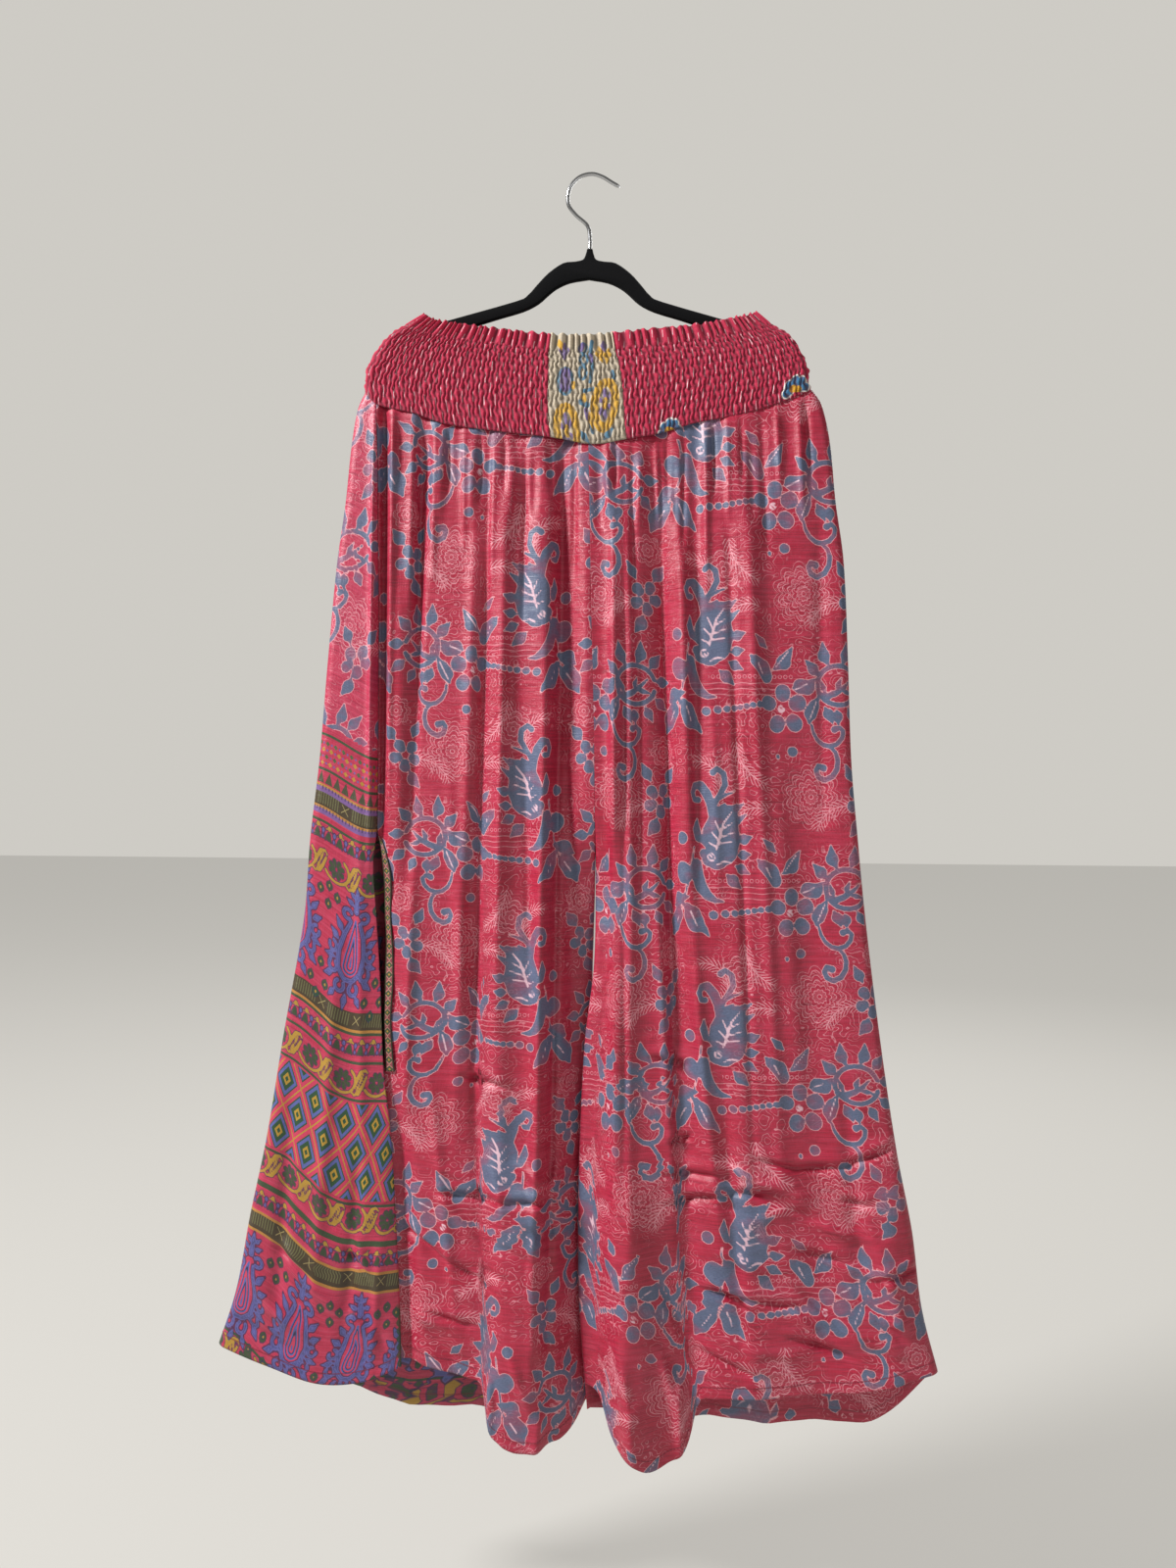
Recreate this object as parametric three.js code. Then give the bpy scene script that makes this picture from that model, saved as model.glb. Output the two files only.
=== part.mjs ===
import * as THREE from "three";

// Wide butterfly pants hanging on a flocked clothes hanger.
// Millimetres, +Z up, +X to the viewer's right, +Y away from the viewer.
// The origin is the underside of the hanger's hook, where it lies on a rod.

// Cloth and seams
const LEG_CLOTH = 1.7;
const BAND_CLOTH = 1.7;
const SEAM_GAP = 0.4;
const HALF_SEAM = SEAM_GAP / 2;
const WAIST_GAP = 0.6;

// Depth of the hanging garment, from the hanger's plane to each face
const FOLD_DEPTH = 6.5;
const WAIST_DEPTH = 12;
const HEM_DEPTH = 19;
const SIDE_ROUND = 8;
const BELLY_REACH = 60;

// Heights that divide the garment
const SEAM_LEVEL = -240;
const CROTCH_Z = -667;
const CROTCH_RISE = 80;
const HEM_LEVEL = -1150;

// Smocking of the waistband
const RIB_HEIGHT = 1.3;
const HEADING_SHARE = 0.25;
const HEADING_GAIN = 1.15;
const ELASTIC_PINCH = 0.75;
const RIBS = { left: 39, patch: 15, right: 38, back: 92 };
const PIECE_GAP_SHARE = 0.0008;

// Slit in the side seam of the leg at the viewer's left
const SLIT_TOP = -622;
const TUCK_DEPTH = 4.2;
const TUCK_REACH = 24;
const TUCK_START = 2;
const TUCK_DROP = 90;
const FACING_LIFT = 0.7;
const FACING_CLOTH = 1;

// Hanger
const HANGER_TILT = THREE.MathUtils.degToRad(0.95);
const HANGER_THICKNESS = 5.5;
const HANGER_BEVEL = 1.4;
const WIRE_RADIUS = 1.75;

// Mesh rows, as shares down a panel, and columns, as shares across it
const LEG_ROWS = [0, 0.035, 0.08, 0.14, 0.22, 0.32, 0.42, 0.45, 0.505, 0.57, 0.665, 0.725, 0.83, 0.92, 1];
const ROUND_COLUMNS = [0, 0.008, 0.03];
const LEG_COLUMNS = { frontRight: 28, frontLeft: 25, back: 24, side: 8 };
const BAND_ROWS = [0, 0.12, 0.25, 0.36, 0.48, 0.6, 0.72, 0.86, 1];
const BAND_BACK_ROWS = [0, 0.2, 0.4, 0.6, 0.8, 1];
const BAND_INSIDE_ROWS = [0, 0.25, 0.5, 0.75, 1];
const FACING_ROWS = 16;
const FACING_COLUMNS = [0, 0.33, 0.67, 1];
const WIRE_STEPS = 28;
const WIRE_SIDES = 5;

// Colours, roughness and metalness of the finishes
const FINISHES = {
  print: { color: 0xb8364f, roughness: 0.6, metalness: 0 },
  border: { color: 0xc44763, roughness: 0.65, metalness: 0 },
  band: { color: 0xc23a5e, roughness: 0.75, metalness: 0 },
  patch: { color: 0xe4dccb, roughness: 0.75, metalness: 0 },
  flock: { color: 0x0b0b0c, roughness: 0.95, metalness: 0 },
  steel: { color: 0x8d8f92, roughness: 0.35, metalness: 1 },
};

// Side outline of the legs, from the waist seam to the hem
const OUTLINE = [
  { z: -201, left: -215, right: 207 },
  { z: -217, left: -222, right: 217 },
  { z: -251, left: -228, right: 225 },
  { z: -307, left: -234, right: 231 },
  { z: -363, left: -242, right: 239 },
  { z: -457, left: -251, right: 244 },
  { z: -551, left: -259, right: 248 },
  { z: -627, left: -268, right: 255 },
  { z: -703, left: -274, right: 263 },
  { z: -817, left: -294, right: 278 },
  { z: -919, left: -311, right: 294 },
  { z: -994, left: -327, right: 309 },
  { z: -1068, left: -341, right: 319 },
  { z: -1129, left: -361, right: 335 },
];

// Centre seam down to the crotch, then the inner edge of each leg.
// Below the crotch the left leg's edge passes behind the right leg's.
const INNER = [
  { z: -250, left: -1, right: -1 },
  { z: -400, left: 2.5, right: 2.5 },
  { z: -530, left: 6, right: 6 },
  { z: -667, left: 7, right: 7.5 },
  { z: -745, left: 5, right: 6.5 },
  { z: -820, left: 4, right: -2 },
  { z: -950, left: 3, right: -7 },
  { z: -1070, left: 4, right: -6 },
  { z: -1170, left: 7, right: 2 },
];
const LEG_SHIFT = { left: 8, right: -6 };
const SHIFT_DROP = 70;
const SHIFT_REACH = 60;
const INSEAM_ROUND = 6;
const INSEAM_SHARE = 0.22;
const INSEAM_REACH = 38;

// Front edge of the border panel, and left edge of the front panel in the slit
const SIDE_SEAM = [
  { z: -201, edge: -203, front: -203 },
  { z: -300, edge: -201, front: -201 },
  { z: -600, edge: -201, front: -201 },
  { z: -622, edge: -201.5, front: -200.5 },
  { z: -650, edge: -204, front: -195 },
  { z: -700, edge: -201, front: -194 },
  { z: -760, edge: -197, front: -193 },
  { z: -846, edge: -193, front: -194 },
  { z: -900, edge: -187, front: -196 },
  { z: -1060, edge: -178, front: -187 },
  { z: -1150, edge: -175, front: -184 },
];

// Facing turned out of the slit
const FACING = [
  { z: -624, left: -199.6, width: 1.2 },
  { z: -640, left: -197, width: 5 },
  { z: -665, left: -194.5, width: 8 },
  { z: -700, left: -193.6, width: 6 },
  { z: -730, left: -192.5, width: 7.5 },
  { z: -765, left: -193, width: 8.5 },
  { z: -800, left: -193.5, width: 7 },
  { z: -830, left: -192.5, width: 8 },
  { z: -848, left: -192, width: 9.5 },
];

// Waistband: its top edge, its lower seam and the folds over the hanger's ends
const BAND_TOP = [
  { x: -157.5, z: -130.4 },
  { x: -145, z: -136 },
  { x: -111, z: -142 },
  { x: -44, z: -151 },
  { x: 0, z: -152.5 },
  { x: 56, z: -148 },
  { x: 100, z: -144 },
  { x: 144, z: -135.5 },
  { x: 155, z: -132.7 },
];
const WAIST_SEAM = [
  { x: -215, z: -201.4 },
  { x: -203, z: -214 },
  { x: -165, z: -224 },
  { x: -139, z: -233.5 },
  { x: -92, z: -241 },
  { x: -35, z: -248 },
  { x: 4, z: -254.5 },
  { x: 35, z: -250 },
  { x: 66, z: -245 },
  { x: 97, z: -236 },
  { x: 132, z: -229.5 },
  { x: 167, z: -220.5 },
  { x: 207.5, z: -205.2 },
];
const BAND_FOLDS = [
  { down: 0, leftX: -157.5, leftZ: -130.4, rightX: 155, rightZ: -132.7 },
  { down: 0.25, leftX: -180, leftZ: -141, rightX: 174.5, rightZ: -145.5 },
  { down: 0.4, leftX: -192, leftZ: -148.5, rightX: 187, rightZ: -153.5 },
  { down: 0.6, leftX: -204.5, leftZ: -163.5, rightX: 198, rightZ: -169.5 },
  { down: 0.78, leftX: -213, leftZ: -179, rightX: 204, rightZ: -184 },
  { down: 0.92, leftX: -214.3, leftZ: -194, rightX: 205, rightZ: -198 },
  { down: 1, leftX: -215, leftZ: -201.4, rightX: 207.5, rightZ: -205.2 },
];
const TOP_CROWDING = 1.35;
const PATCH_EDGES = { leftTop: 0.4155, leftLow: 0.4227, rightTop: 0.5525, rightLow: 0.592 };

// Hem heights of the front and back of each leg
const HEMS = {
  sideFront: [
    { x: -361, z: -1124 },
    { x: -303, z: -1144 },
    { x: -257, z: -1158 },
    { x: -175, z: -1151 },
  ],
  leftFront: [
    { x: -185, z: -1142 },
    { x: -145, z: -1147 },
    { x: -104, z: -1153 },
    { x: -84, z: -1180 },
    { x: -62, z: -1192 },
    { x: -38, z: -1186 },
    { x: 4, z: -1172 },
  ],
  rightFront: [
    { x: 6, z: -1172 },
    { x: 30, z: -1187 },
    { x: 58, z: -1205 },
    { x: 86, z: -1193 },
    { x: 112, z: -1153 },
    { x: 205, z: -1148 },
    { x: 260, z: -1144 },
    { x: 300, z: -1134 },
    { x: 335, z: -1127 },
  ],
  leftBack: [
    { x: -361, z: -1124 },
    { x: -303, z: -1155 },
    { x: -257, z: -1170 },
    { x: -193, z: -1179 },
    { x: -90, z: -1189 },
    { x: 4, z: -1172 },
  ],
  rightBack: [
    { x: 6, z: -1172 },
    { x: 60, z: -1188 },
    { x: 150, z: -1190 },
    { x: 246, z: -1188 },
    { x: 291, z: -1175 },
    { x: 335, z: -1127 },
  ],
};

// Folds of the front: a line from top to low end, its spread on each side and
// its height, where a ridge is above 0 and a valley below
const FRONT_FOLDS = [
  { topX: -201, top: -330, lowX: -191, low: -800, spread: 10, height: -4 },
  { topX: -180, top: -860, lowX: -162, low: -1250, spread: 17, height: -8 },
  { topX: -180, top: -190, lowX: -180, low: -300, spread: 10, height: -3 },
  { topX: -178, top: -340, lowX: -180, low: -700, spread: 12, height: 3 },
  { topX: -154, top: -190, lowX: -168, low: -690, spread: 12, height: -8 },
  { topX: -125, top: -190, lowX: -125, low: -330, spread: 10, height: -3 },
  { topX: -96, top: -190, lowX: -95, low: -350, spread: 10, height: -3 },
  { topX: -67, top: -190, lowX: -69, low: -380, spread: 11, height: -4 },
  { topX: -84, top: -260, lowX: -78, low: -1300, spread: 15, height: 5 },
  { topX: -46, top: -270, lowX: -42, low: -1300, spread: 16, height: 6 },
  { topX: -28, top: -190, lowX: -10, low: -900, spread: 15, height: -9 },
  { topX: -62, top: -900, lowX: -62, low: -1400, spread: 30, height: 14 },
  { topX: -3, top: -300, lowX: 0, low: -620, spread: 10, height: 3 },
  { topX: 34, top: -280, lowX: 38, low: -1250, spread: 16, height: 8 },
  { topX: 44, top: -900, lowX: 62, low: -1400, spread: 28, height: 13 },
  { topX: 57, top: -200, lowX: 112, low: -1300, spread: 17, height: -7 },
  { topX: 87, top: -300, lowX: 92, low: -760, spread: 14, height: 4 },
  { topX: 98, top: -190, lowX: 103, low: -760, spread: 11, height: -4 },
  { topX: 119, top: -190, lowX: 120, low: -340, spread: 9, height: -2.5 },
  { topX: 134, top: -200, lowX: 160, low: -1300, spread: 26, height: 4 },
  { topX: 182, top: -190, lowX: 187, low: -300, spread: 10, height: -3 },
  { topX: 200, top: -500, lowX: 235, low: -1400, spread: 34, height: -5 },
  { topX: 285, top: -900, lowX: 300, low: -1400, spread: 22, height: 5 },
];

// Folds of the back, which hangs in the same way
const BACK_FOLDS = [
  { topX: -188, top: -190, lowX: -300, low: -1400, spread: 24, height: -5 },
  { topX: -150, top: -190, lowX: -245, low: -1400, spread: 24, height: 6 },
  { topX: -112, top: -190, lowX: -185, low: -1400, spread: 20, height: -6 },
  { topX: -78, top: -190, lowX: -120, low: -1400, spread: 22, height: 7 },
  { topX: -45, top: -190, lowX: -62, low: -1400, spread: 14, height: -5 },
  { topX: -18, top: -250, lowX: -38, low: -1400, spread: 15, height: 5 },
  { topX: 24, top: -250, lowX: 40, low: -1400, spread: 15, height: 6 },
  { topX: 55, top: -190, lowX: 78, low: -1400, spread: 15, height: -6 },
  { topX: 88, top: -190, lowX: 125, low: -1400, spread: 22, height: 6 },
  { topX: 125, top: -190, lowX: 185, low: -1400, spread: 20, height: -6 },
  { topX: 160, top: -190, lowX: 235, low: -1400, spread: 24, height: 5 },
  { topX: 190, top: -190, lowX: 288, low: -1400, spread: 22, height: -5 },
];
const FOLD_FADE = 90;

// Hanger's half outline, mirrored for the other arm
const ARM_TOP = [
  { x: 2.6, z: -68.5 },
  { x: 4, z: -74 },
  { x: 6.5, z: -78.5 },
  { x: 14, z: -80.3 },
  { x: 25, z: -81.8 },
  { x: 38.5, z: -91 },
  { x: 49, z: -102 },
  { x: 58, z: -112 },
  { x: 70, z: -118 },
  { x: 137, z: -137 },
  { x: 181, z: -150.5 },
  { x: 190.3, z: -157 },
];
const ARM_UNDER = [
  { x: 192.5, z: -165.5 },
  { x: 187, z: -168 },
  { x: 175, z: -163.8 },
  { x: 124, z: -147.2 },
  { x: 88, z: -135.6 },
  { x: 62, z: -127.8 },
  { x: 47.5, z: -120.5 },
  { x: 38, z: -112.2 },
  { x: 30, z: -106 },
  { x: 17.6, z: -100.5 },
  { x: 0, z: -97.5 },
];

// Hook's wire, centre line from the stem to the tip
const HOOK_LINE = [
  { x: 0, z: -68.1 },
  { x: 0, z: -60 },
  { x: -2.5, z: -47 },
  { x: -14, z: -36.5 },
  { x: -21.3, z: -26 },
  { x: -20.2, z: -11.5 },
  { x: -11.5, z: -1.4 },
  { x: 0.2, z: 1.75 },
  { x: 10.5, z: -1 },
  { x: 19, z: -6 },
  { x: 27, z: -10.5 },
];

// A smooth curve through the rows of a table, read by column
function through(rows, key, column) {
  const ascending = rows[0][key] < rows.at(-1)[key];
  const sorted = ascending ? rows : [...rows].reverse();
  const slopeAt = sorted.map((row, i) => {
    const before = sorted[Math.max(i - 1, 0)];
    const after = sorted[Math.min(i + 1, sorted.length - 1)];
    return (after[column] - before[column]) / (after[key] - before[key]);
  });
  return (at) => {
    let i = 0;
    while (i < sorted.length - 2 && at > sorted[i + 1][key]) i += 1;
    const a = sorted[i];
    const b = sorted[i + 1];
    const span = b[key] - a[key];
    const t = THREE.MathUtils.clamp((at - a[key]) / span, 0, 1);
    const rise = t * t * (3 - 2 * t);
    const start = t * (1 - t) * (1 - t);
    const finish = t * t * (t - 1);
    const value = a[column] + (b[column] - a[column]) * rise;
    return value + span * (slopeAt[i] * start + slopeAt[i + 1] * finish);
  };
}

const outlineLeft = through(OUTLINE, "z", "left");
const outlineRight = through(OUTLINE, "z", "right");
const innerLeft = through(INNER, "z", "left");
const innerRight = through(INNER, "z", "right");
const sidePanelEdge = through(SIDE_SEAM, "z", "edge");
const frontPanelEdge = through(SIDE_SEAM, "z", "front");
const seamHeight = through(WAIST_SEAM, "x", "z");
const topHeight = through(BAND_TOP, "x", "z");

const smooth = THREE.MathUtils.smoothstep;
const lerp = THREE.MathUtils.lerp;

// Quarter round at a folded edge: 0 on the edge, 1 from the round's reach on
function roundEdge(distance, reach) {
  const t = THREE.MathUtils.clamp(distance / reach, 0, 1);
  return Math.sqrt(t * (2 - t));
}

// Rise of the folds at one place, each a soft ridge or trough that fades at both ends
function foldRise(folds, x, z) {
  let rise = 0;
  for (const fold of folds) {
    const down = (z - fold.top) / (fold.low - fold.top);
    const line = lerp(fold.topX, fold.lowX, down);
    const across = (x - line) / fold.spread;
    const begun = smooth(fold.top - z, 0, FOLD_FADE);
    const ended = smooth(z - fold.low, 0, FOLD_FADE);
    rise += (fold.height * begun * ended) / Math.cosh(across * 1.5) ** 2;
  }
  return rise;
}

// Half depth of the hollow garment at a distance from its folded side
function bellyDepth(distance, z) {
  const down = smooth(-z, -SEAM_LEVEL, -HEM_LEVEL);
  const full = lerp(WAIST_DEPTH, HEM_DEPTH, down);
  return full - (full - FOLD_DEPTH) * Math.exp(-Math.max(distance, 0) / BELLY_REACH);
}

// How far the legs are parted at this height, 0 above the crotch and 1 below it
function parting(z) {
  return smooth(-z, -(CROTCH_Z + CROTCH_RISE), -CROTCH_Z);
}

// Depth of the front or back cloth's outer face from the hanger's plane
function clothDepth(face, x, z, leftLeg) {
  const fromLeft = x - outlineLeft(z);
  const fromRight = outlineRight(z) - x;
  const folds = face < 0 ? FRONT_FOLDS : BACK_FOLDS;
  const body = bellyDepth(Math.min(fromLeft, fromRight), z) + foldRise(folds, x, z);
  const fromInner = leftLeg ? innerLeft(z) - x : x - innerRight(z);
  const thin = lerp(INSEAM_SHARE, 1, smooth(fromInner, 0, INSEAM_REACH));
  const inner = 1 - parting(z) * (1 - roundEdge(fromInner, INSEAM_ROUND) * thin);
  return body * roundEdge(fromLeft, SIDE_ROUND) * roundEdge(fromRight, SIDE_ROUND) * inner;
}

// Depth of the leg's own middle plane: the inner edges lie one behind the other
function legShift(x, z, leftLeg) {
  const fromInner = leftLeg ? innerLeft(z) - x : x - innerRight(z);
  const near = 1 - smooth(fromInner, 0, SHIFT_REACH);
  const below = smooth(-z, -CROTCH_Z, -CROTCH_Z + SHIFT_DROP);
  return (leftLeg ? LEG_SHIFT.left : LEG_SHIFT.right) * near * below;
}

// The front panel steps back where the border panel lies over it, below the slit
function tuck(x, z) {
  const below = smooth(-z, -SLIT_TOP, -SLIT_TOP + TUCK_DROP);
  return TUCK_DEPTH * below * (1 - smooth(x - sidePanelEdge(z), TUCK_START, TUCK_REACH));
}

// A place on the outer face of a panel, with the direction out of the cloth
function clothPlace(face, x, z, leftLeg, tucked) {
  const depth = (atX, atZ) =>
    Math.max(clothDepth(face, atX, atZ, leftLeg) - (tucked ? tuck(atX, atZ) : 0), 0) +
    face * legShift(atX, atZ, leftLeg);
  const step = 1;
  const slopeX = (depth(x + step, z) - depth(x - step, z)) / (2 * step);
  const slopeZ = (depth(x, z + step) - depth(x, z - step)) / (2 * step);
  const point = new THREE.Vector3(x, face * (HALF_SEAM + depth(x, z)), z);
  const out = new THREE.Vector3(-slopeX, face, -slopeZ).normalize();
  return { point, out };
}

// Two triangle rows between two lines of points that may differ in count
function zip(lineA, lineB, indices) {
  let a = 0;
  let b = 0;
  while (a < lineA.length - 1 || b < lineB.length - 1) {
    const endA = a === lineA.length - 1;
    const endB = b === lineB.length - 1;
    if (endB || (!endA && lineA[a + 1].at <= lineB[b + 1].at)) {
      indices.push(lineA[a].index, lineA[a + 1].index, lineB[b].index);
      a += 1;
    } else {
      indices.push(lineA[a].index, lineB[b + 1].index, lineB[b].index);
      b += 1;
    }
  }
}

// A closed wall between an outer and an inner grid of points.
// Seen from outside, columns run to the right and rows run down.
function wallGeometry(outer, inner) {
  const positions = [];
  const indices = [];
  const grids = [outer, inner].map((grid) =>
    grid.points.map((row) =>
      row.map((point) => {
        positions.push(point.x, point.y, point.z);
        return positions.length / 3 - 1;
      })
    )
  );
  grids.forEach((grid, side) => {
    for (let row = 0; row < grid.length - 1; row += 1) {
      for (let column = 0; column < grid[row].length - 1; column += 1) {
        const a = grid[row][column];
        const b = grid[row + 1][column];
        const c = grid[row + 1][column + 1];
        const d = grid[row][column + 1];
        if (side === 0) indices.push(a, b, c, a, c, d);
        else indices.push(a, c, b, a, d, c);
      }
    }
  });
  const sheets = [outer, inner];
  const rowLine = (side, row) =>
    grids[side].at(row).map((index, i) => ({ index, at: sheets[side].across[i] }));
  const columnLine = (side, column) =>
    grids[side].map((row, i) => ({ index: row.at(column), at: sheets[side].down[i] }));
  zip(rowLine(0, 0), rowLine(1, 0), indices);
  zip(columnLine(0, -1), columnLine(1, -1), indices);
  const turned = [];
  zip(rowLine(0, -1), rowLine(1, -1), turned);
  zip(columnLine(0, 0), columnLine(1, 0), turned);
  for (let i = 0; i < turned.length; i += 3) indices.push(turned[i], turned[i + 2], turned[i + 1]);
  const geometry = new THREE.BufferGeometry();
  geometry.setAttribute("position", new THREE.Float32BufferAttribute(positions, 3));
  geometry.setIndex(indices);
  return geometry;
}

function evenly(count, from = 0, to = 1) {
  return Array.from({ length: count + 1 }, (_, i) => lerp(from, to, i / count));
}

// Columns across one face of a panel, closer together at a rounded edge
function columnsAcross(face, from, to, count, roundStart, roundEnd) {
  const head = roundStart ? ROUND_COLUMNS : [0];
  const tail = roundEnd ? ROUND_COLUMNS.map((share) => 1 - share).reverse() : [1];
  const middle = evenly(count, head.at(-1), tail[0]).slice(1, -1);
  const shares = [...head, ...middle, ...tail];
  return shares.map((share) => ({ face, x: (z) => lerp(from(z), to(z), share) }));
}

// Panel of a leg. Closed edges face straight sideways, so that seams stay open
// by their gap: a closed edge at the crotch's height turns as the legs part.
function legPanel(columns, rows, hems, leftLeg, tucked = false) {
  const outer = rows.map(() => []);
  const inner = rows.map(() => []);
  for (const column of columns) {
    const hem = column.hem ?? hems;
    let top = SEAM_LEVEL;
    let low = HEM_LEVEL;
    for (let pass = 0; pass < 6; pass += 1) {
      top = seamHeight(column.x(top)) - WAIST_GAP;
      low = hem(column.x(low));
    }
    rows.forEach((share, row) => {
      const z = lerp(top, low, share);
      const x = column.x(z);
      const { point, out } = clothPlace(column.face, x, z, leftLeg, tucked);
      const turn = column.closing ? column.closing(z) : 0;
      if (turn > 0) {
        out.lerp(new THREE.Vector3(column.closeTo, 0, 0), turn);
        out.normalize();
      }
      const inside = point.clone().addScaledVector(out, -LEG_CLOTH);
      if (row === 0) inside.z = seamHeight(inside.x) - WAIST_GAP;
      outer[row].push(point);
      inner[row].push(inside);
    });
  }
  const across = columns.map((_, i) => i);
  const sheets = [outer, inner].map((points) => ({ points, across, down: rows }));
  return { geometry: wallGeometry(...sheets), outer };
}

// Marks the columns on a folded edge with the side that they face
function closeEdges(columns, startSide, startTurn, endSide, endTurn) {
  if (startTurn) Object.assign(columns[0], { closeTo: startSide, closing: startTurn });
  if (endTurn) Object.assign(columns.at(-1), { closeTo: endSide, closing: endTurn });
  return columns;
}

const always = () => 1;
const hemCurves = {};
for (const [name, rows] of Object.entries(HEMS)) hemCurves[name] = through(rows, "x", "z");

function frontRightPanel() {
  const centre = (z) => innerRight(z) + HALF_SEAM * (1 - parting(z));
  const columns = columnsAcross(-1, centre, outlineRight, LEG_COLUMNS.frontRight, true, true);
  closeEdges(columns, -1, parting, 1, always);
  return legPanel(columns, LEG_ROWS, hemCurves.rightFront, false);
}

function frontLeftPanel() {
  const edge = (z) => frontPanelEdge(z) + SEAM_GAP;
  const centre = (z) => innerLeft(z) - HALF_SEAM * (1 - parting(z));
  const columns = columnsAcross(-1, edge, centre, LEG_COLUMNS.frontLeft, false, true);
  closeEdges(columns, 0, null, 1, parting);
  return legPanel(columns, LEG_ROWS, hemCurves.leftFront, true, true);
}

function backRightPanel() {
  const centre = (z) => innerRight(z) + HALF_SEAM * (1 - parting(z));
  const columns = columnsAcross(1, outlineRight, centre, LEG_COLUMNS.back, true, true);
  closeEdges(columns, 1, always, -1, parting);
  return legPanel(columns, LEG_ROWS, hemCurves.rightBack, false);
}

// Back of the other leg, in one piece with the border panel that wraps forward
function backLeftPanel() {
  const centre = (z) => innerLeft(z) - HALF_SEAM * (1 - parting(z));
  const back = columnsAcross(1, centre, outlineLeft, LEG_COLUMNS.back, true, true);
  const wrap = columnsAcross(-1, outlineLeft, sidePanelEdge, LEG_COLUMNS.side, true, false);
  back.forEach((column) => Object.assign(column, { hem: hemCurves.leftBack }));
  wrap.forEach((column) => Object.assign(column, { hem: hemCurves.sideFront }));
  const columns = [...back, ...wrap.slice(1)];
  closeEdges(columns, 1, parting, 0, null);
  const side = columns[back.length - 1];
  Object.assign(side, { closeTo: -1, closing: always });
  return legPanel(columns, LEG_ROWS, null, true);
}

// Point on a faceted sheet, seen from the front at x and z
function onSheet(grid, x, z) {
  const target = new THREE.Vector3(x, 0, z);
  const weights = new THREE.Vector3();
  const flat = (point) => new THREE.Vector3(point.x, 0, point.z);
  let nearest = -Infinity;
  let depth = 0;
  for (let row = 0; row < grid.length - 1; row += 1) {
    for (let column = 0; column < grid[row].length - 1; column += 1) {
      const a = grid[row][column];
      const c = grid[row + 1][column + 1];
      for (const b of [grid[row + 1][column], grid[row][column + 1]]) {
        THREE.Triangle.getBarycoord(target, flat(a), flat(b), flat(c), weights);
        const within = Math.min(weights.x, weights.y, weights.z);
        if (within <= nearest) continue;
        nearest = within;
        depth = a.y * weights.x + b.y * weights.y + c.y * weights.z;
      }
    }
  }
  return new THREE.Vector3(x, depth, z);
}

// Strip of border cloth along the slit, made from the front panel moved out
function slitFacing(panel) {
  const left = through(FACING, "z", "left");
  const width = through(FACING, "z", "width");
  const heights = evenly(FACING_ROWS, FACING[0].z, FACING.at(-1).z);
  const outer = [];
  const inner = [];
  for (const z of heights) {
    const places = FACING_COLUMNS.map((share) => onSheet(panel, left(z) + width(z) * share, z));
    const moved = (lift) => places.map(({ x, y }) => new THREE.Vector3(x, y - lift, z));
    outer.push(moved(FACING_LIFT + FACING_CLOTH));
    inner.push(moved(FACING_LIFT));
  }
  const lines = { across: FACING_COLUMNS, down: heights.map((z) => -z) };
  return wallGeometry({ points: outer, ...lines }, { points: inner, ...lines });
}

// Waistband's surface: across from fold to fold, down from top edge to seam
const foldCurve = {
  leftX: through(BAND_FOLDS, "down", "leftX"),
  leftZ: through(BAND_FOLDS, "down", "leftZ"),
  rightX: through(BAND_FOLDS, "down", "rightX"),
  rightZ: through(BAND_FOLDS, "down", "rightZ"),
};

function edgePoint(across, low) {
  const rows = low ? WAIST_SEAM : BAND_TOP;
  const side = 2 * across - 1;
  const crowding = low ? 1 : TOP_CROWDING;
  const spread = crowding * side + (1 - crowding) * side ** 3;
  const x = lerp(rows[0].x, rows.at(-1).x, (spread + 1) / 2);
  return new THREE.Vector2(x, low ? seamHeight(x) : topHeight(x));
}

function bandFlat(across, down) {
  const left = new THREE.Vector2(foldCurve.leftX(down), foldCurve.leftZ(down));
  const right = new THREE.Vector2(foldCurve.rightX(down), foldCurve.rightZ(down));
  const place = edgePoint(across, false).lerp(edgePoint(across, true), down);
  place.addScaledVector(left, 1 - across).addScaledVector(right, across);
  const cornersLeft = edgePoint(0, false).lerp(edgePoint(0, true), down);
  const cornersRight = edgePoint(1, false).lerp(edgePoint(1, true), down);
  place.addScaledVector(cornersLeft, across - 1).addScaledVector(cornersRight, -across);
  const toLeft = place.distanceTo(left);
  const toRight = place.distanceTo(right);
  return { place, toFold: Math.min(toLeft, toRight) };
}

function bandPoint(face, across, down) {
  const { place, toFold } = bandFlat(across, down);
  const depth = bellyDepth(toFold, SEAM_LEVEL) * roundEdge(toFold, SIDE_ROUND);
  return new THREE.Vector3(place.x, face * (HALF_SEAM + depth), place.y);
}

function bandPlace(face, across, down) {
  const step = 0.002;
  const clampShare = (share) => THREE.MathUtils.clamp(share, 0, 1);
  const at = (a, d) => bandPoint(face, clampShare(a), clampShare(d));
  const alongRow = at(across + step, down).sub(at(across - step, down));
  const alongColumn = at(across, down + step * 4).sub(at(across, down - step * 4));
  const out = alongColumn.cross(alongRow).normalize();
  if (out.y * face < 0) out.negate();
  if (across === 0 || across === 1) out.set(across === 0 ? -1 : 1, 0, 0);
  return { point: bandPoint(face, across, down), out };
}

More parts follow.
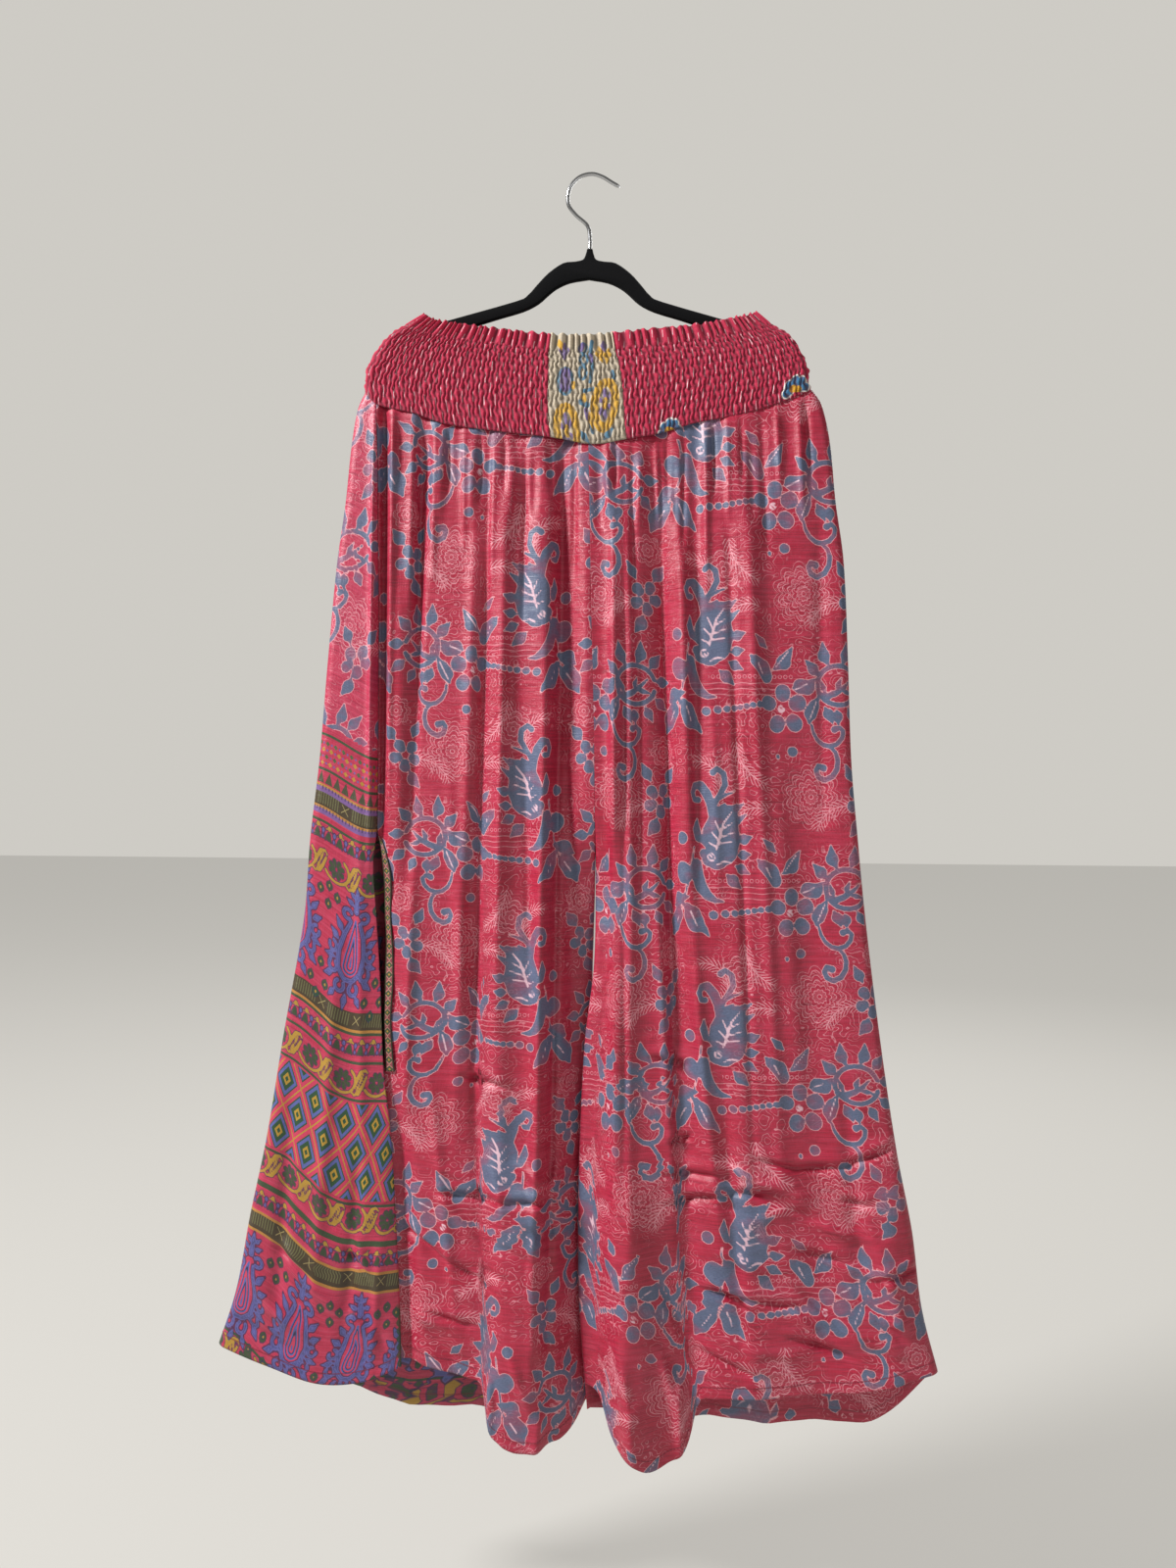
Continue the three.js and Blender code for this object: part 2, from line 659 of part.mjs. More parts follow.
// Piece of the smocked band: ribs stand on the outer face, the inside is plain
function bandPiece(face, ribs, startAcross, endAcross, rows, insideColumns) {
  const start = (down) => lerp(startAcross[0], startAcross[1], down);
  const end = (down) => lerp(endAcross[0], endAcross[1], down);
  const moved = (across, down, lift) => {
    const { point, out } = bandPlace(face, across, down);
    point.addScaledVector(out, lift);
    if (down === 1) point.z = seamHeight(point.x);
    return point;
  };
  const outerColumns = evenly(ribs * 2);
  const outer = rows.map((down, row) =>
    outerColumns.map((share, column) => {
      const heading = down < HEADING_SHARE ? HEADING_GAIN : 1;
      const pinch = row % 2 === 0 ? ELASTIC_PINCH : 1;
      const rib = column % 2 === 1 ? RIB_HEIGHT * heading * pinch : 0;
      return moved(lerp(start(down), end(down), share), down, rib);
    })
  );
  const inner = BAND_INSIDE_ROWS.map((down) =>
    insideColumns.map((share) => moved(lerp(start(down), end(down), share), down, -BAND_CLOTH))
  );
  return wallGeometry(
    { points: outer, across: outerColumns, down: rows },
    { points: inner, across: insideColumns, down: BAND_INSIDE_ROWS }
  );
}

function waistband() {
  const { leftTop, leftLow, rightTop, rightLow } = PATCH_EDGES;
  const nearFold = [0, 0.012, 0.03, 0.06];
  const fromFold = [...nearFold, ...evenly(13, 0.1, 1)];
  const toFold = fromFold.map((share) => 1 - share).reverse();
  const halfBack = [0, 0.006, 0.015, 0.03, ...evenly(11, 0.055, 0.5)];
  const backColumns = [...halfBack, ...halfBack.slice(0, -1).map((s) => 1 - s).reverse()];
  const left = [leftTop - PIECE_GAP_SHARE, leftLow - PIECE_GAP_SHARE];
  const patch = [leftTop, leftLow];
  const patchEnd = [rightTop - PIECE_GAP_SHARE, rightLow - PIECE_GAP_SHARE];
  const right = [rightTop, rightLow];
  return {
    front_left: bandPiece(-1, RIBS.left, [0, 0], left, BAND_ROWS, fromFold),
    patch: bandPiece(-1, RIBS.patch, patch, patchEnd, BAND_ROWS, evenly(6)),
    front_right: bandPiece(-1, RIBS.right, right, [1, 1], BAND_ROWS, toFold),
    back: bandPiece(1, RIBS.back, [1, 1], [0, 0], BAND_BACK_ROWS, backColumns),
  };
}

// Flocked body of the hanger: one flat arch with rounded edges
function hangerBody() {
  const half = [...ARM_TOP, ...ARM_UNDER];
  const mirrored = half.slice(0, -1).reverse().map(({ x, z }) => ({ x: -x, z }));
  const shape = new THREE.Shape([...half, ...mirrored].map(({ x, z }) => new THREE.Vector2(x, z)));
  const geometry = new THREE.ExtrudeGeometry(shape, {
    depth: HANGER_THICKNESS - 2 * HANGER_BEVEL,
    bevelEnabled: true,
    bevelThickness: HANGER_BEVEL,
    bevelSize: HANGER_BEVEL,
    bevelOffset: -HANGER_BEVEL,
    bevelSegments: 2,
  });
  geometry.translate(0, 0, HANGER_BEVEL - HANGER_THICKNESS / 2);
  return geometry.rotateX(Math.PI / 2);
}

// Hook: a round wire bent over the rod, its tip free
function hangerHook() {
  const line = HOOK_LINE.map(({ x, z }) => new THREE.Vector3(x, 0, z));
  const path = new THREE.CatmullRomCurve3(line, false, "centripetal");
  const section = new THREE.Shape();
  section.absarc(0, 0, WIRE_RADIUS, 0, 2 * Math.PI, false);
  return new THREE.ExtrudeGeometry(section, {
    steps: WIRE_STEPS,
    curveSegments: WIRE_SIDES,
    extrudePath: path,
    bevelEnabled: false,
  });
}

function piece(name, geometry, finish) {
  const mesh = new THREE.Mesh(geometry, new THREE.MeshStandardMaterial(FINISHES[finish]));
  mesh.name = name;
  return mesh;
}

const garment = new THREE.Group();
const band = waistband();
garment.add(piece("waistband_front_left", band.front_left, "band"));
garment.add(piece("waistband_patch", band.patch, "patch"));
garment.add(piece("waistband_front_right", band.front_right, "band"));
garment.add(piece("waistband_back", band.back, "band"));
const leftFront = frontLeftPanel();
garment.add(piece("leg_left_front", leftFront.geometry, "print"));
garment.add(piece("leg_left_back_and_side", backLeftPanel().geometry, "border"));
garment.add(piece("leg_left_slit_facing", slitFacing(leftFront.outer), "border"));
garment.add(piece("leg_right_front", frontRightPanel().geometry, "print"));
garment.add(piece("leg_right_back", backRightPanel().geometry, "print"));

const hanger = new THREE.Group();
hanger.rotation.y = HANGER_TILT;
hanger.add(piece("hanger_body", hangerBody(), "flock"));
hanger.add(piece("hanger_hook", hangerHook(), "steel"));

const pants = new THREE.Group();
pants.add(garment, hanger);

export default pants;
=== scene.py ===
import math

import bpy
import numpy as np
from mathutils import Matrix, Vector


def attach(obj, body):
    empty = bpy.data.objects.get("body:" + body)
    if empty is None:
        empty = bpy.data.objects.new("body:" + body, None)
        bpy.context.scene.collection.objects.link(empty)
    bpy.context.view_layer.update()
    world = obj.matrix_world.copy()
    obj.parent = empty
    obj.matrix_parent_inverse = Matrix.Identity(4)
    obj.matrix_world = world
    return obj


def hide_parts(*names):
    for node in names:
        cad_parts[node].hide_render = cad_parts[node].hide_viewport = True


# %% [markdown]
# Butterfly pants on a hanger. The real garment is cut from old printed saris: one leg has a plain
# crimson body print, the other also shows the sari's woven-style border, and the waist is a band
# of cotton gathered on rows of elastic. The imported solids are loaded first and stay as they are.
# Every piece of cloth is then made again as a thin shell on the same form, fine enough for a print.

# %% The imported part
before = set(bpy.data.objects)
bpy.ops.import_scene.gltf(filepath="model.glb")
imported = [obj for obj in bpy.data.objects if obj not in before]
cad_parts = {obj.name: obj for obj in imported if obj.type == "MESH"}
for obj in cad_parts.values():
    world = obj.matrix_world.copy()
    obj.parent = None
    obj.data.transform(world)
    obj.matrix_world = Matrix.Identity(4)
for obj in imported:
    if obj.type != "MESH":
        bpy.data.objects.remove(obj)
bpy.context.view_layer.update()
MM = 0.001

# %% [markdown]
# The form of the cloth is a height field: every place on a leg has a distance from the hanger's
# plane. The tables below are the garment's own sizes in millimetres, one row to a place, and a
# smooth curve is drawn through each column. The sides are folded edges, rounded like a quarter
# circle, and each gather or fold is a soft ridge or trough that fades at both ends.

# %% Sizes of the garment, in millimetres
OUTLINE = [  # height, left edge, right edge
    (-201, -215, 207), (-217, -222, 217), (-251, -228, 225), (-307, -234, 231), (-363, -242, 239),
    (-457, -251, 244), (-551, -259, 248), (-627, -268, 255), (-703, -274, 263), (-817, -294, 278),
    (-919, -311, 294), (-994, -327, 309), (-1068, -341, 319), (-1129, -361, 335),
]
INNER = [  # height, left leg's inner edge, right leg's inner edge
    (-250, -1, -1), (-400, 2.5, 2.5), (-530, 6, 6), (-667, 7, 7.5), (-745, 5, 6.5), (-820, 4, -2),
    (-950, 3, -7), (-1070, 4, -6), (-1170, 7, 2),
]
SIDE_SEAM = [  # height, border panel's front edge, front panel's edge in the slit
    (-201, -203, -203), (-300, -201, -201), (-600, -201, -201), (-622, -201.5, -200.5),
    (-650, -204, -195), (-700, -201, -194), (-760, -197, -193), (-846, -193, -194), (-900, -187, -196),
    (-1060, -178, -187), (-1150, -175, -184),
]
FACING = [  # height, left edge, width
    (-624, -199.6, 1.2), (-640, -197, 5), (-665, -194.5, 8), (-700, -193.6, 6), (-730, -192.5, 7.5),
    (-765, -193, 8.5), (-800, -193.5, 7), (-830, -192.5, 8), (-848, -192, 9.5),
]
BAND_TOP = [  # place across, height
    (-157.5, -130.4), (-145, -136), (-111, -142), (-44, -151), (0, -152.5), (56, -148), (100, -144),
    (144, -135.5), (155, -132.7),
]
WAIST_SEAM = [  # place across, height
    (-215, -201.4), (-203, -214), (-165, -224), (-139, -233.5), (-92, -241), (-35, -248), (4, -254.5),
    (35, -250), (66, -245), (97, -236), (132, -229.5), (167, -220.5), (207.5, -205.2),
]
BAND_FOLDS = [  # share down, left fold across and high, right fold across and high
    (0, -157.5, -130.4, 155, -132.7), (0.25, -180, -141, 174.5, -145.5), (0.4, -192, -148.5, 187, -153.5),
    (0.6, -204.5, -163.5, 198, -169.5), (0.78, -213, -179, 204, -184), (0.92, -214.3, -194, 205, -198),
    (1, -215, -201.4, 207.5, -205.2),
]
FRONT_FOLDS = [  # top: across, high; low end: across, high; spread; height
    (-201, -330, -191, -800, 10, -4), (-180, -860, -162, -1250, 17, -8), (-180, -190, -180, -300, 10, -3),
    (-178, -340, -180, -700, 12, 3), (-154, -190, -168, -690, 12, -8), (-125, -190, -125, -330, 10, -3),
    (-96, -190, -95, -350, 10, -3), (-67, -190, -69, -380, 11, -4), (-84, -260, -78, -1300, 15, 5),
    (-46, -270, -42, -1300, 16, 6), (-28, -190, -10, -900, 15, -9), (-62, -900, -62, -1400, 30, 14),
    (-3, -300, 0, -620, 10, 3), (34, -280, 38, -1250, 16, 8), (44, -900, 62, -1400, 28, 13),
    (57, -200, 112, -1300, 17, -7), (87, -300, 92, -760, 14, 4), (98, -190, 103, -760, 11, -4),
    (119, -190, 120, -340, 9, -2.5), (134, -200, 160, -1300, 26, 4), (182, -190, 187, -300, 10, -3),
    (200, -500, 235, -1400, 34, -5), (285, -900, 300, -1400, 22, 5),
]
BACK_FOLDS = [  # top: across, high; low end: across, high; spread; height
    (-188, -190, -300, -1400, 24, -5), (-150, -190, -245, -1400, 24, 6),
    (-112, -190, -185, -1400, 20, -6), (-78, -190, -120, -1400, 22, 7), (-45, -190, -62, -1400, 14, -5),
    (-18, -250, -38, -1400, 15, 5), (24, -250, 40, -1400, 15, 6), (55, -190, 78, -1400, 15, -6),
    (88, -190, 125, -1400, 22, 6), (125, -190, 185, -1400, 20, -6), (160, -190, 235, -1400, 24, 5),
    (190, -190, 288, -1400, 22, -5),
]
ARM_TOP = [  # place across, height
    (2.6, -68.5), (4, -74), (6.5, -78.5), (14, -80.3), (25, -81.8), (38.5, -91), (49, -102), (58, -112),
    (70, -118), (137, -137), (181, -150.5), (190.3, -157),
]
ARM_UNDER = [  # place across, height
    (192.5, -165.5), (187, -168), (175, -163.8), (124, -147.2), (88, -135.6), (62, -127.8),
    (47.5, -120.5), (38, -112.2), (30, -106), (17.6, -100.5), (0, -97.5),
]
HOOK_LINE = [  # place across, height
    (0, -68.1), (0, -60), (-2.5, -47), (-14, -36.5), (-21.3, -26), (-20.2, -11.5), (-11.5, -1.4),
    (0.2, 1.75), (10.5, -1), (19, -6), (27, -10.5),
]
HEMS = {  # place across, height
    "side_front": [(-361, -1119), (-303, -1137), (-257, -1150), (-215, -1147), (-175, -1132)],
    "left_front": [(-185, -1125), (-145, -1131), (-106, -1140), (-97, -1146), (-90, -1184), (-79, -1195),
                   (-67, -1200), (-56, -1201), (-45, -1200), (-33, -1196), (-22, -1196), (-10, -1186),
                   (4, -1160)],
    "right_front": [(6, -1146), (15, -1155), (24, -1184), (35, -1201), (46, -1210), (58, -1216),
                    (69, -1216), (81, -1211), (92, -1206), (100, -1192), (108, -1160), (116, -1153),
                    (205, -1148), (260, -1144), (300, -1134), (335, -1127)],
    "left_back": [(-361, -1119), (-303, -1147), (-257, -1162), (-193, -1180), (-90, -1188), (4, -1172)],
    "right_back": [(6, -1172), (60, -1188), (150, -1190), (246, -1188), (291, -1175), (335, -1127)],
}
CLOTH = 1.0
HALF_SEAM, WAIST_TUCK = 0.2, 2.5
FOLD_DEPTH, WAIST_DEPTH, HEM_DEPTH = 6.5, 12.0, 19.0
SIDE_ROUND, BELLY_REACH = 8.0, 60.0
SEAM_LEVEL, CROTCH, CROTCH_RISE, HEM_LEVEL = -240.0, -667.0, 80.0, -1150.0
SLIT_TOP, TUCK_DEPTH, TUCK_REACH = -622.0, 4.2, 24.0
LEG_SHIFT = {"left": 8.0, "right": -6.0}
FOLD_FADE, TOP_CROWDING = 90.0, 1.35
RIB_HEIGHT, HEADING_SHARE = 2.2, 0.22
CREASE_DEPTH = 1.9
BACK_CREASE_SHARE, BACK_CREASE_LIFT = 0.8, 25  # the back's creases are the front's, mirrored and moved up
INNER_ROUND, INNER_THIN, INNER_REACH = 6, 0.22, 38  # how the cloth thins towards the inside leg
SLIT_EASE, SHIFT_REACH, SHIFT_EASE = 90, 60, 70

CREASES = [  # small creases of the front: two ends across and high, spread and height
    (-218, -560, -212, -1020, 9, 1.6), (-236, -700, -262, -1100, 11, 2.2),
    (-283, -860, -300, -1110, 12, -2.6), (-214, -905, -232, -1120, 10, -2.4),
    (-330, -1040, -285, -1095, 11, 2.4), (-345, -1090, -270, -1128, 9, -2.2),
    (-300, -1010, -240, -1075, 12, 2.0), (-195, -1010, -205, -1140, 8, 2.0),
    (-226, -1050, -184, -1125, 9, -2.0), (-150, -840, -120, -1100, 9, 1.8),
    (-132, -560, -118, -760, 9, 1.5), (-112, -650, -100, -1010, 8, -2.0), (-60, -520, -52, -790, 7, -1.8),
    (-20, -500, -8, -650, 7, 1.8), (-6, -650, 12, -805, 8, 2.2), (-22, -925, -45, -985, 9, 2.6),
    (-55, -990, -25, -1000, 8, -2.4), (-92, -925, -75, -985, 9, 2.2), (-140, -1010, -100, -1080, 11, 1.6),
    (-150, -1090, -118, -1138, 10, -1.8), (22, -300, 26, -640, 7, 1.8), (46, -420, 50, -720, 6, -1.8),
    (62, -620, 84, -980, 7, 1.8), (100, -740, 128, -1010, 9, 2.2), (128, -830, 150, -1130, 10, -2.2),
    (116, -480, 124, -700, 8, 1.6), (150, -280, 158, -520, 12, 1.6), (176, -560, 205, -900, 14, 1.8),
    (215, -300, 222, -620, 10, -1.6), (170, -920, 250, -1010, 14, 1.8),
    (140, -1000, 215, -1075, 13, -1.8), (190, -1060, 290, -1105, 13, 1.8),
    (120, -1085, 200, -1138, 11, 1.8), (60, -1060, 100, -1150, 10, -2.2), (28, -1090, 52, -1185, 8, 2.2),
    (240, -820, 262, -1080, 12, -2.0), (265, -980, 310, -1110, 10, 1.8), (12, -990, 40, -1060, 8, 1.8),
    (-168, -700, -172, -900, 8, 1.8), (-70, -262, -74, -330, 6, 1.8), (8, -262, 10, -340, 7, -1.8),
    (48, -262, 46, -330, 6, 1.8), (78, -262, 82, -330, 6, -1.6), (150, -245, 152, -330, 7, -1.8),
    (-110, -255, -112, -330, 6, 1.6), (-140, -250, -142, -330, 6, 1.6), (-52, -262, -52, -320, 6, -1.6),
    (-36, -290, -50, -1150, 8, 3.0), (-25, -280, -36, -1180, 5, -3.2), (22, -290, 27, -1050, 6, 2.6),
    (33, -280, 37, -1000, 5, -2.6), (-105, -255, -124, -900, 9, 2.4), (-93, -255, -108, -880, 5, -2.4),
    (-76, -255, -88, -860, 8, 2.2), (82, -275, 110, -900, 9, 2.2), (66, -265, 84, -880, 5, -2.4),
    (142, -255, 186, -980, 10, 2.2), (126, -255, 160, -960, 6, -2.2), (-150, -255, -170, -800, 8, 2.2),
    (-40, -1160, -44, -1215, 10, 3.0), (-88, -1130, -90, -1200, 7, 3.0), (44, -1150, 46, -1215, 10, 3.0),
    (90, -1130, 92, -1215, 7, 3.0), (-230, -985, -205, -1040, 7, 2.0), (-140, -960, -100, -1010, 7, 2.2),
    (-118, -1030, -66, -1040, 6, -1.4), (130, -930, 200, -958, 6, 2.4), (140, -948, 214, -980, 6, -2.4),
    (215, -985, 268, -1000, 6, 2.2), (110, -1030, 160, -1062, 6, 2.2), (120, -1045, 172, -1080, 5, -2.4),
    (190, -1060, 236, -1108, 6, 2.4), (200, -1046, 250, -1092, 5, -2.2), (240, -1020, 300, -1046, 6, 2.0),
    (60, -1060, 88, -1120, 6, 2.2), (70, -1040, 98, -1104, 5, -2.2), (262, -1060, 306, -1100, 6, -2.0),
    (-66, -930, -30, -952, 6, 2.0), (-195, -205, -198, -630, 4.5, -8.0), (-204, -205, -208, -640, 5, 3.0),
    (-186, -222, -190, -620, 5, 2.4), (-196, -215, -198, -300, 5, -2.0), (-186, -218, -186, -290, 4, 1.4),
    (-166, -226, -170, -420, 6, 2.2), (-160, -226, -163, -500, 4, -2.4), (-146, -230, -148, -380, 5, 2.0),
    (-133, -232, -134, -300, 4, -1.8), (-118, -236, -118, -350, 4, 1.6),
    (-103, -238, -104, -310, 4, -2.0), (-90, -240, -92, -400, 5, 1.8), (-80, -242, -80, -300, 4, -1.8),
    (-60, -244, -62, -420, 4, -2.2), (-38, -246, -36, -300, 4, -1.6), (-14, -252, -14, -380, 4, -2.0),
    (16, -252, 18, -330, 4, 1.8), (24, -250, 24, -300, 3, -1.8), (40, -248, 42, -420, 5, -2.2),
    (62, -246, 66, -340, 4, 1.8), (72, -243, 74, -310, 4, -2.0), (88, -238, 88, -360, 4, -1.8),
    (108, -234, 110, -400, 5, 2.2), (115, -233, 116, -300, 3, -2.0), (128, -230, 130, -340, 4, 1.6),
    (141, -228, 143, -300, 4, -1.6), (160, -222, 166, -360, 6, -1.8), (174, -219, 178, -300, 4, 1.6),
    (194, -213, 200, -330, 5, 1.6), (201, -212, 206, -290, 4, -1.8), (-148, -930, -92, -960, 8, 1.8),
    (-160, -1010, -112, -1052, 8, -1.8), (-170, -1080, -120, -1090, 9, 1.6),
    (-86, -1005, -40, -1028, 7, -1.8), (-128, -1118, -92, -1130, 7, -1.4),
    (-72, -1100, -48, -1170, 8, 2.0), (-48, -1110, -30, -1165, 6, -2.0), (-98, -1120, -84, -1165, 7, 1.8),
    (70, -1100, 92, -1178, 7, 2.0), (42, -1130, 50, -1190, 6, -1.8), (96, -960, 150, -975, 9, -1.8),
    (120, -1010, 175, -1030, 8, 2.0), (150, -985, 215, -960, 10, 1.6), (200, -1010, 262, -1052, 10, -2.0),
    (230, -940, 285, -985, 10, 1.6), (255, -1070, 305, -1080, 9, 1.8), (150, -1100, 205, -1112, 8, 1.8),
    (205, -1088, 262, -1128, 9, -1.8), (262, -1100, 310, -1120, 8, -1.6), (84, -1020, 112, -1090, 8, 1.8),
    (-292, -960, -225, -1010, 11, -1.8), (-258, -1060, -205, -1100, 9, 2.2),
    (-236, -1100, -190, -1138, 8, -1.8), (-318, -1075, -262, -1105, 8, 1.6),
]
WRINKLES = [  # short sharp folds across the lower legs: start and end
    (159, -924, 200, -934), (195, -934, 245, -933), (240, -933, 290, -913), (77, -969, 135, -958),
    (130, -958, 186, -954), (75, -941, 132, -940), (78, -911, 101, -905), (242, -962, 270, -970),
    (106, -1049, 166, -1059), (160, -1058, 207, -1066), (186, -1092, 254, -1112),
    (106, -1106, 166, -1132), (267, -1039, 320, -1026), (200, -1010, 246, -1024), (-143, -962, -90, -967),
    (-96, -967, -10, -966), (-176, -998, -140, -1020), (-146, -1018, -88, -1052), (-49, -968, -9, -945),
    (-150, -1078, -104, -1090), (-230, -1020, -206, -1046), (-300, -1020, -262, -1050),
    (60, -830, 96, -838), (-120, -850, -70, -862),
]
CREASES += [row for x0, z0, x1, z1 in WRINKLES
            for row in ((x0, z0, x1, z1, 4.2, -2.6), (x0, z0 + 8, x1, z1 + 8, 7, 1.2))]


# %% [markdown]
# Cloth has no corners where it hangs, so every step from one level to another is eased at both
# ends, and the tables above are joined by curves that run smoothly through each given place.

# %% Curves and soft steps
def through(rows, column):
    """The smooth curve of one column of a table against its first column"""
    rows = sorted(rows)
    key = np.array([row[0] for row in rows], float)
    value = np.array([row[column] for row in rows], float)
    place = np.arange(len(rows))
    before, after = np.maximum(place - 1, 0), np.minimum(place + 1, len(rows) - 1)
    slope = (value[after] - value[before]) / (key[after] - key[before])

    def curve(at):
        i = np.clip(np.searchsorted(key, at, side="left") - 1, 0, len(rows) - 2)
        span = key[i + 1] - key[i]
        t = np.clip((at - key[i]) / span, 0, 1)
        bend = slope[i] * t * (1 - t) ** 2 + slope[i + 1] * t * t * (t - 1)
        return value[i] + (value[i + 1] - value[i]) * t * t * (3 - 2 * t) + span * bend

    return curve


def smooth(x, low, high):
    t = np.clip((x - low) / (high - low), 0, 1)
    return t * t * (3 - 2 * t)


def lerp(a, b, share):
    return a + (b - a) * share


def round_edge(distance, reach):
    t = np.clip(distance / reach, 0, 1)
    return np.sqrt(t * (2 - t))


outline_left, outline_right = through(OUTLINE, 1), through(OUTLINE, 2)
inner_left, inner_right = through(INNER, 1), through(INNER, 2)
side_edge, slit_edge = through(SIDE_SEAM, 1), through(SIDE_SEAM, 2)
seam_height, top_height = through(WAIST_SEAM, 1), through(BAND_TOP, 1)
hem = {name: through(rows, 1) for name, rows in HEMS.items()}


# %% [markdown]
# A gathered leg bellies out between its two folded sides, and folds fan down from the gathers.
# Each fold and crease is a ridge whose section is a soft bell and which fades at its two ends, and
# they are added to the belly's own depth. Below the crotch the two legs part, each with a round edge.

# %% Depth of the cloth at a place on a leg
def fold_rise(folds, x, z):
    rise = np.zeros_like(x)
    for top_x, top, low_x, low, spread, height in folds:
        line = lerp(top_x, low_x, (z - top) / (low - top))
        ends = smooth(top - z, 0, FOLD_FADE) * smooth(z - low, 0, FOLD_FADE)
        rise += height * ends / np.cosh(1.5 * (x - line) / spread) ** 2
    return rise


def crease_rise(x, z):
    rise = np.zeros_like(x)
    for x0, z0, x1, z1, spread, height in CREASES:
        length = math.hypot(x1 - x0, z1 - z0)
        ux, uz = (x1 - x0) / length, (z1 - z0) / length
        along = ((x - x0) * ux + (z - z0) * uz) / length
        aside = ((x - x0) * uz - (z - z0) * ux) / spread
        ends = smooth(along, -0.15, 0.35) * (1 - smooth(along, 0.65, 1.15))
        rise += height * ends / np.cosh(np.clip(1.5 * aside, -30, 30)) ** 2
    return CREASE_DEPTH * rise


def belly_depth(distance, z):
    full = lerp(WAIST_DEPTH, HEM_DEPTH, smooth(-z, -SEAM_LEVEL, -HEM_LEVEL))
    return full - (full - FOLD_DEPTH) * np.exp(-np.maximum(distance, 0) / BELLY_REACH)


def parting(z):
    return smooth(-z, -(CROTCH + CROTCH_RISE), -CROTCH)


def cloth_depth(face, x, z, leg, tucked):
    """How far the cloth stands off the hanger's plane at a place across and high"""
    from_left, from_right = x - outline_left(z), outline_right(z) - x
    if face < 0:
        rise = fold_rise(FRONT_FOLDS, x, z) + crease_rise(x, z)
    else:
        rise = fold_rise(BACK_FOLDS, x, z) + BACK_CREASE_SHARE * crease_rise(-x, z - BACK_CREASE_LIFT)
    body = belly_depth(np.minimum(from_left, from_right), z) + rise
    from_inner = inner_left(z) - x if leg == "left" else x - inner_right(z)
    thin = lerp(INNER_THIN, 1, smooth(from_inner, 0, INNER_REACH))
    inner = 1 - parting(z) * (1 - round_edge(from_inner, INNER_ROUND) * thin)
    depth = body * round_edge(from_left, SIDE_ROUND) * round_edge(from_right, SIDE_ROUND) * inner
    if tucked:
        below = smooth(-z, -SLIT_TOP, -SLIT_TOP + SLIT_EASE)
        depth = depth - TUCK_DEPTH * below * (1 - smooth(x - side_edge(z), 2, TUCK_REACH))
    near = 1 - smooth(from_inner, 0, SHIFT_REACH)
    shift = LEG_SHIFT[leg] * near * smooth(-z, -CROTCH, -CROTCH + SHIFT_EASE)
    return np.maximum(depth, 0) + face * shift


def cloth_place(face, x, z, leg, tucked=False):
    depth = cloth_depth(face, x, z, leg, tucked)
    slope_x = (cloth_depth(face, x + 1, z, leg, tucked) - cloth_depth(face, x - 1, z, leg, tucked)) / 2
    slope_z = (cloth_depth(face, x, z + 1, leg, tucked) - cloth_depth(face, x, z - 1, leg, tucked)) / 2
    point = np.stack([x, face * (HALF_SEAM + depth), z], -1)
    out = np.stack([-slope_x, np.full_like(x, face), -slope_z], -1)
    return point, out / np.linalg.norm(out, axis=-1, keepdims=True)


# %% [markdown]
# A cloth shell is one closed mesh: the outer face carries the print and has small faces, the
# inside is plain and has a quarter as many, and the rim at waist, hem and edges joins the two.
# The UV map holds flat cloth coordinates in millimetres, measured along the cloth itself, so a
# print keeps its size where the cloth dips into a fold, as on the real garment.

# %% Closed shell of cloth
def zip_rims(a, a_at, b, b_at):
    """Triangles between two rows of points that run side by side at different spacings"""
    faces, i, j = [], 0, 0
    while i < len(a) - 1 or j < len(b) - 1:
        if j == len(b) - 1 or (i < len(a) - 1 and a_at[i + 1] <= b_at[j + 1]):
            faces.append((a[i], a[i + 1], b[j]))
            i += 1
        else:
            faces.append((a[i], b[j + 1], b[j]))
            j += 1
    return faces


def declare(piece, node):
    """Say what the piece rides on, and hide the solid it stands for"""
    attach(piece, "root")
    if node:
        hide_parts(node)


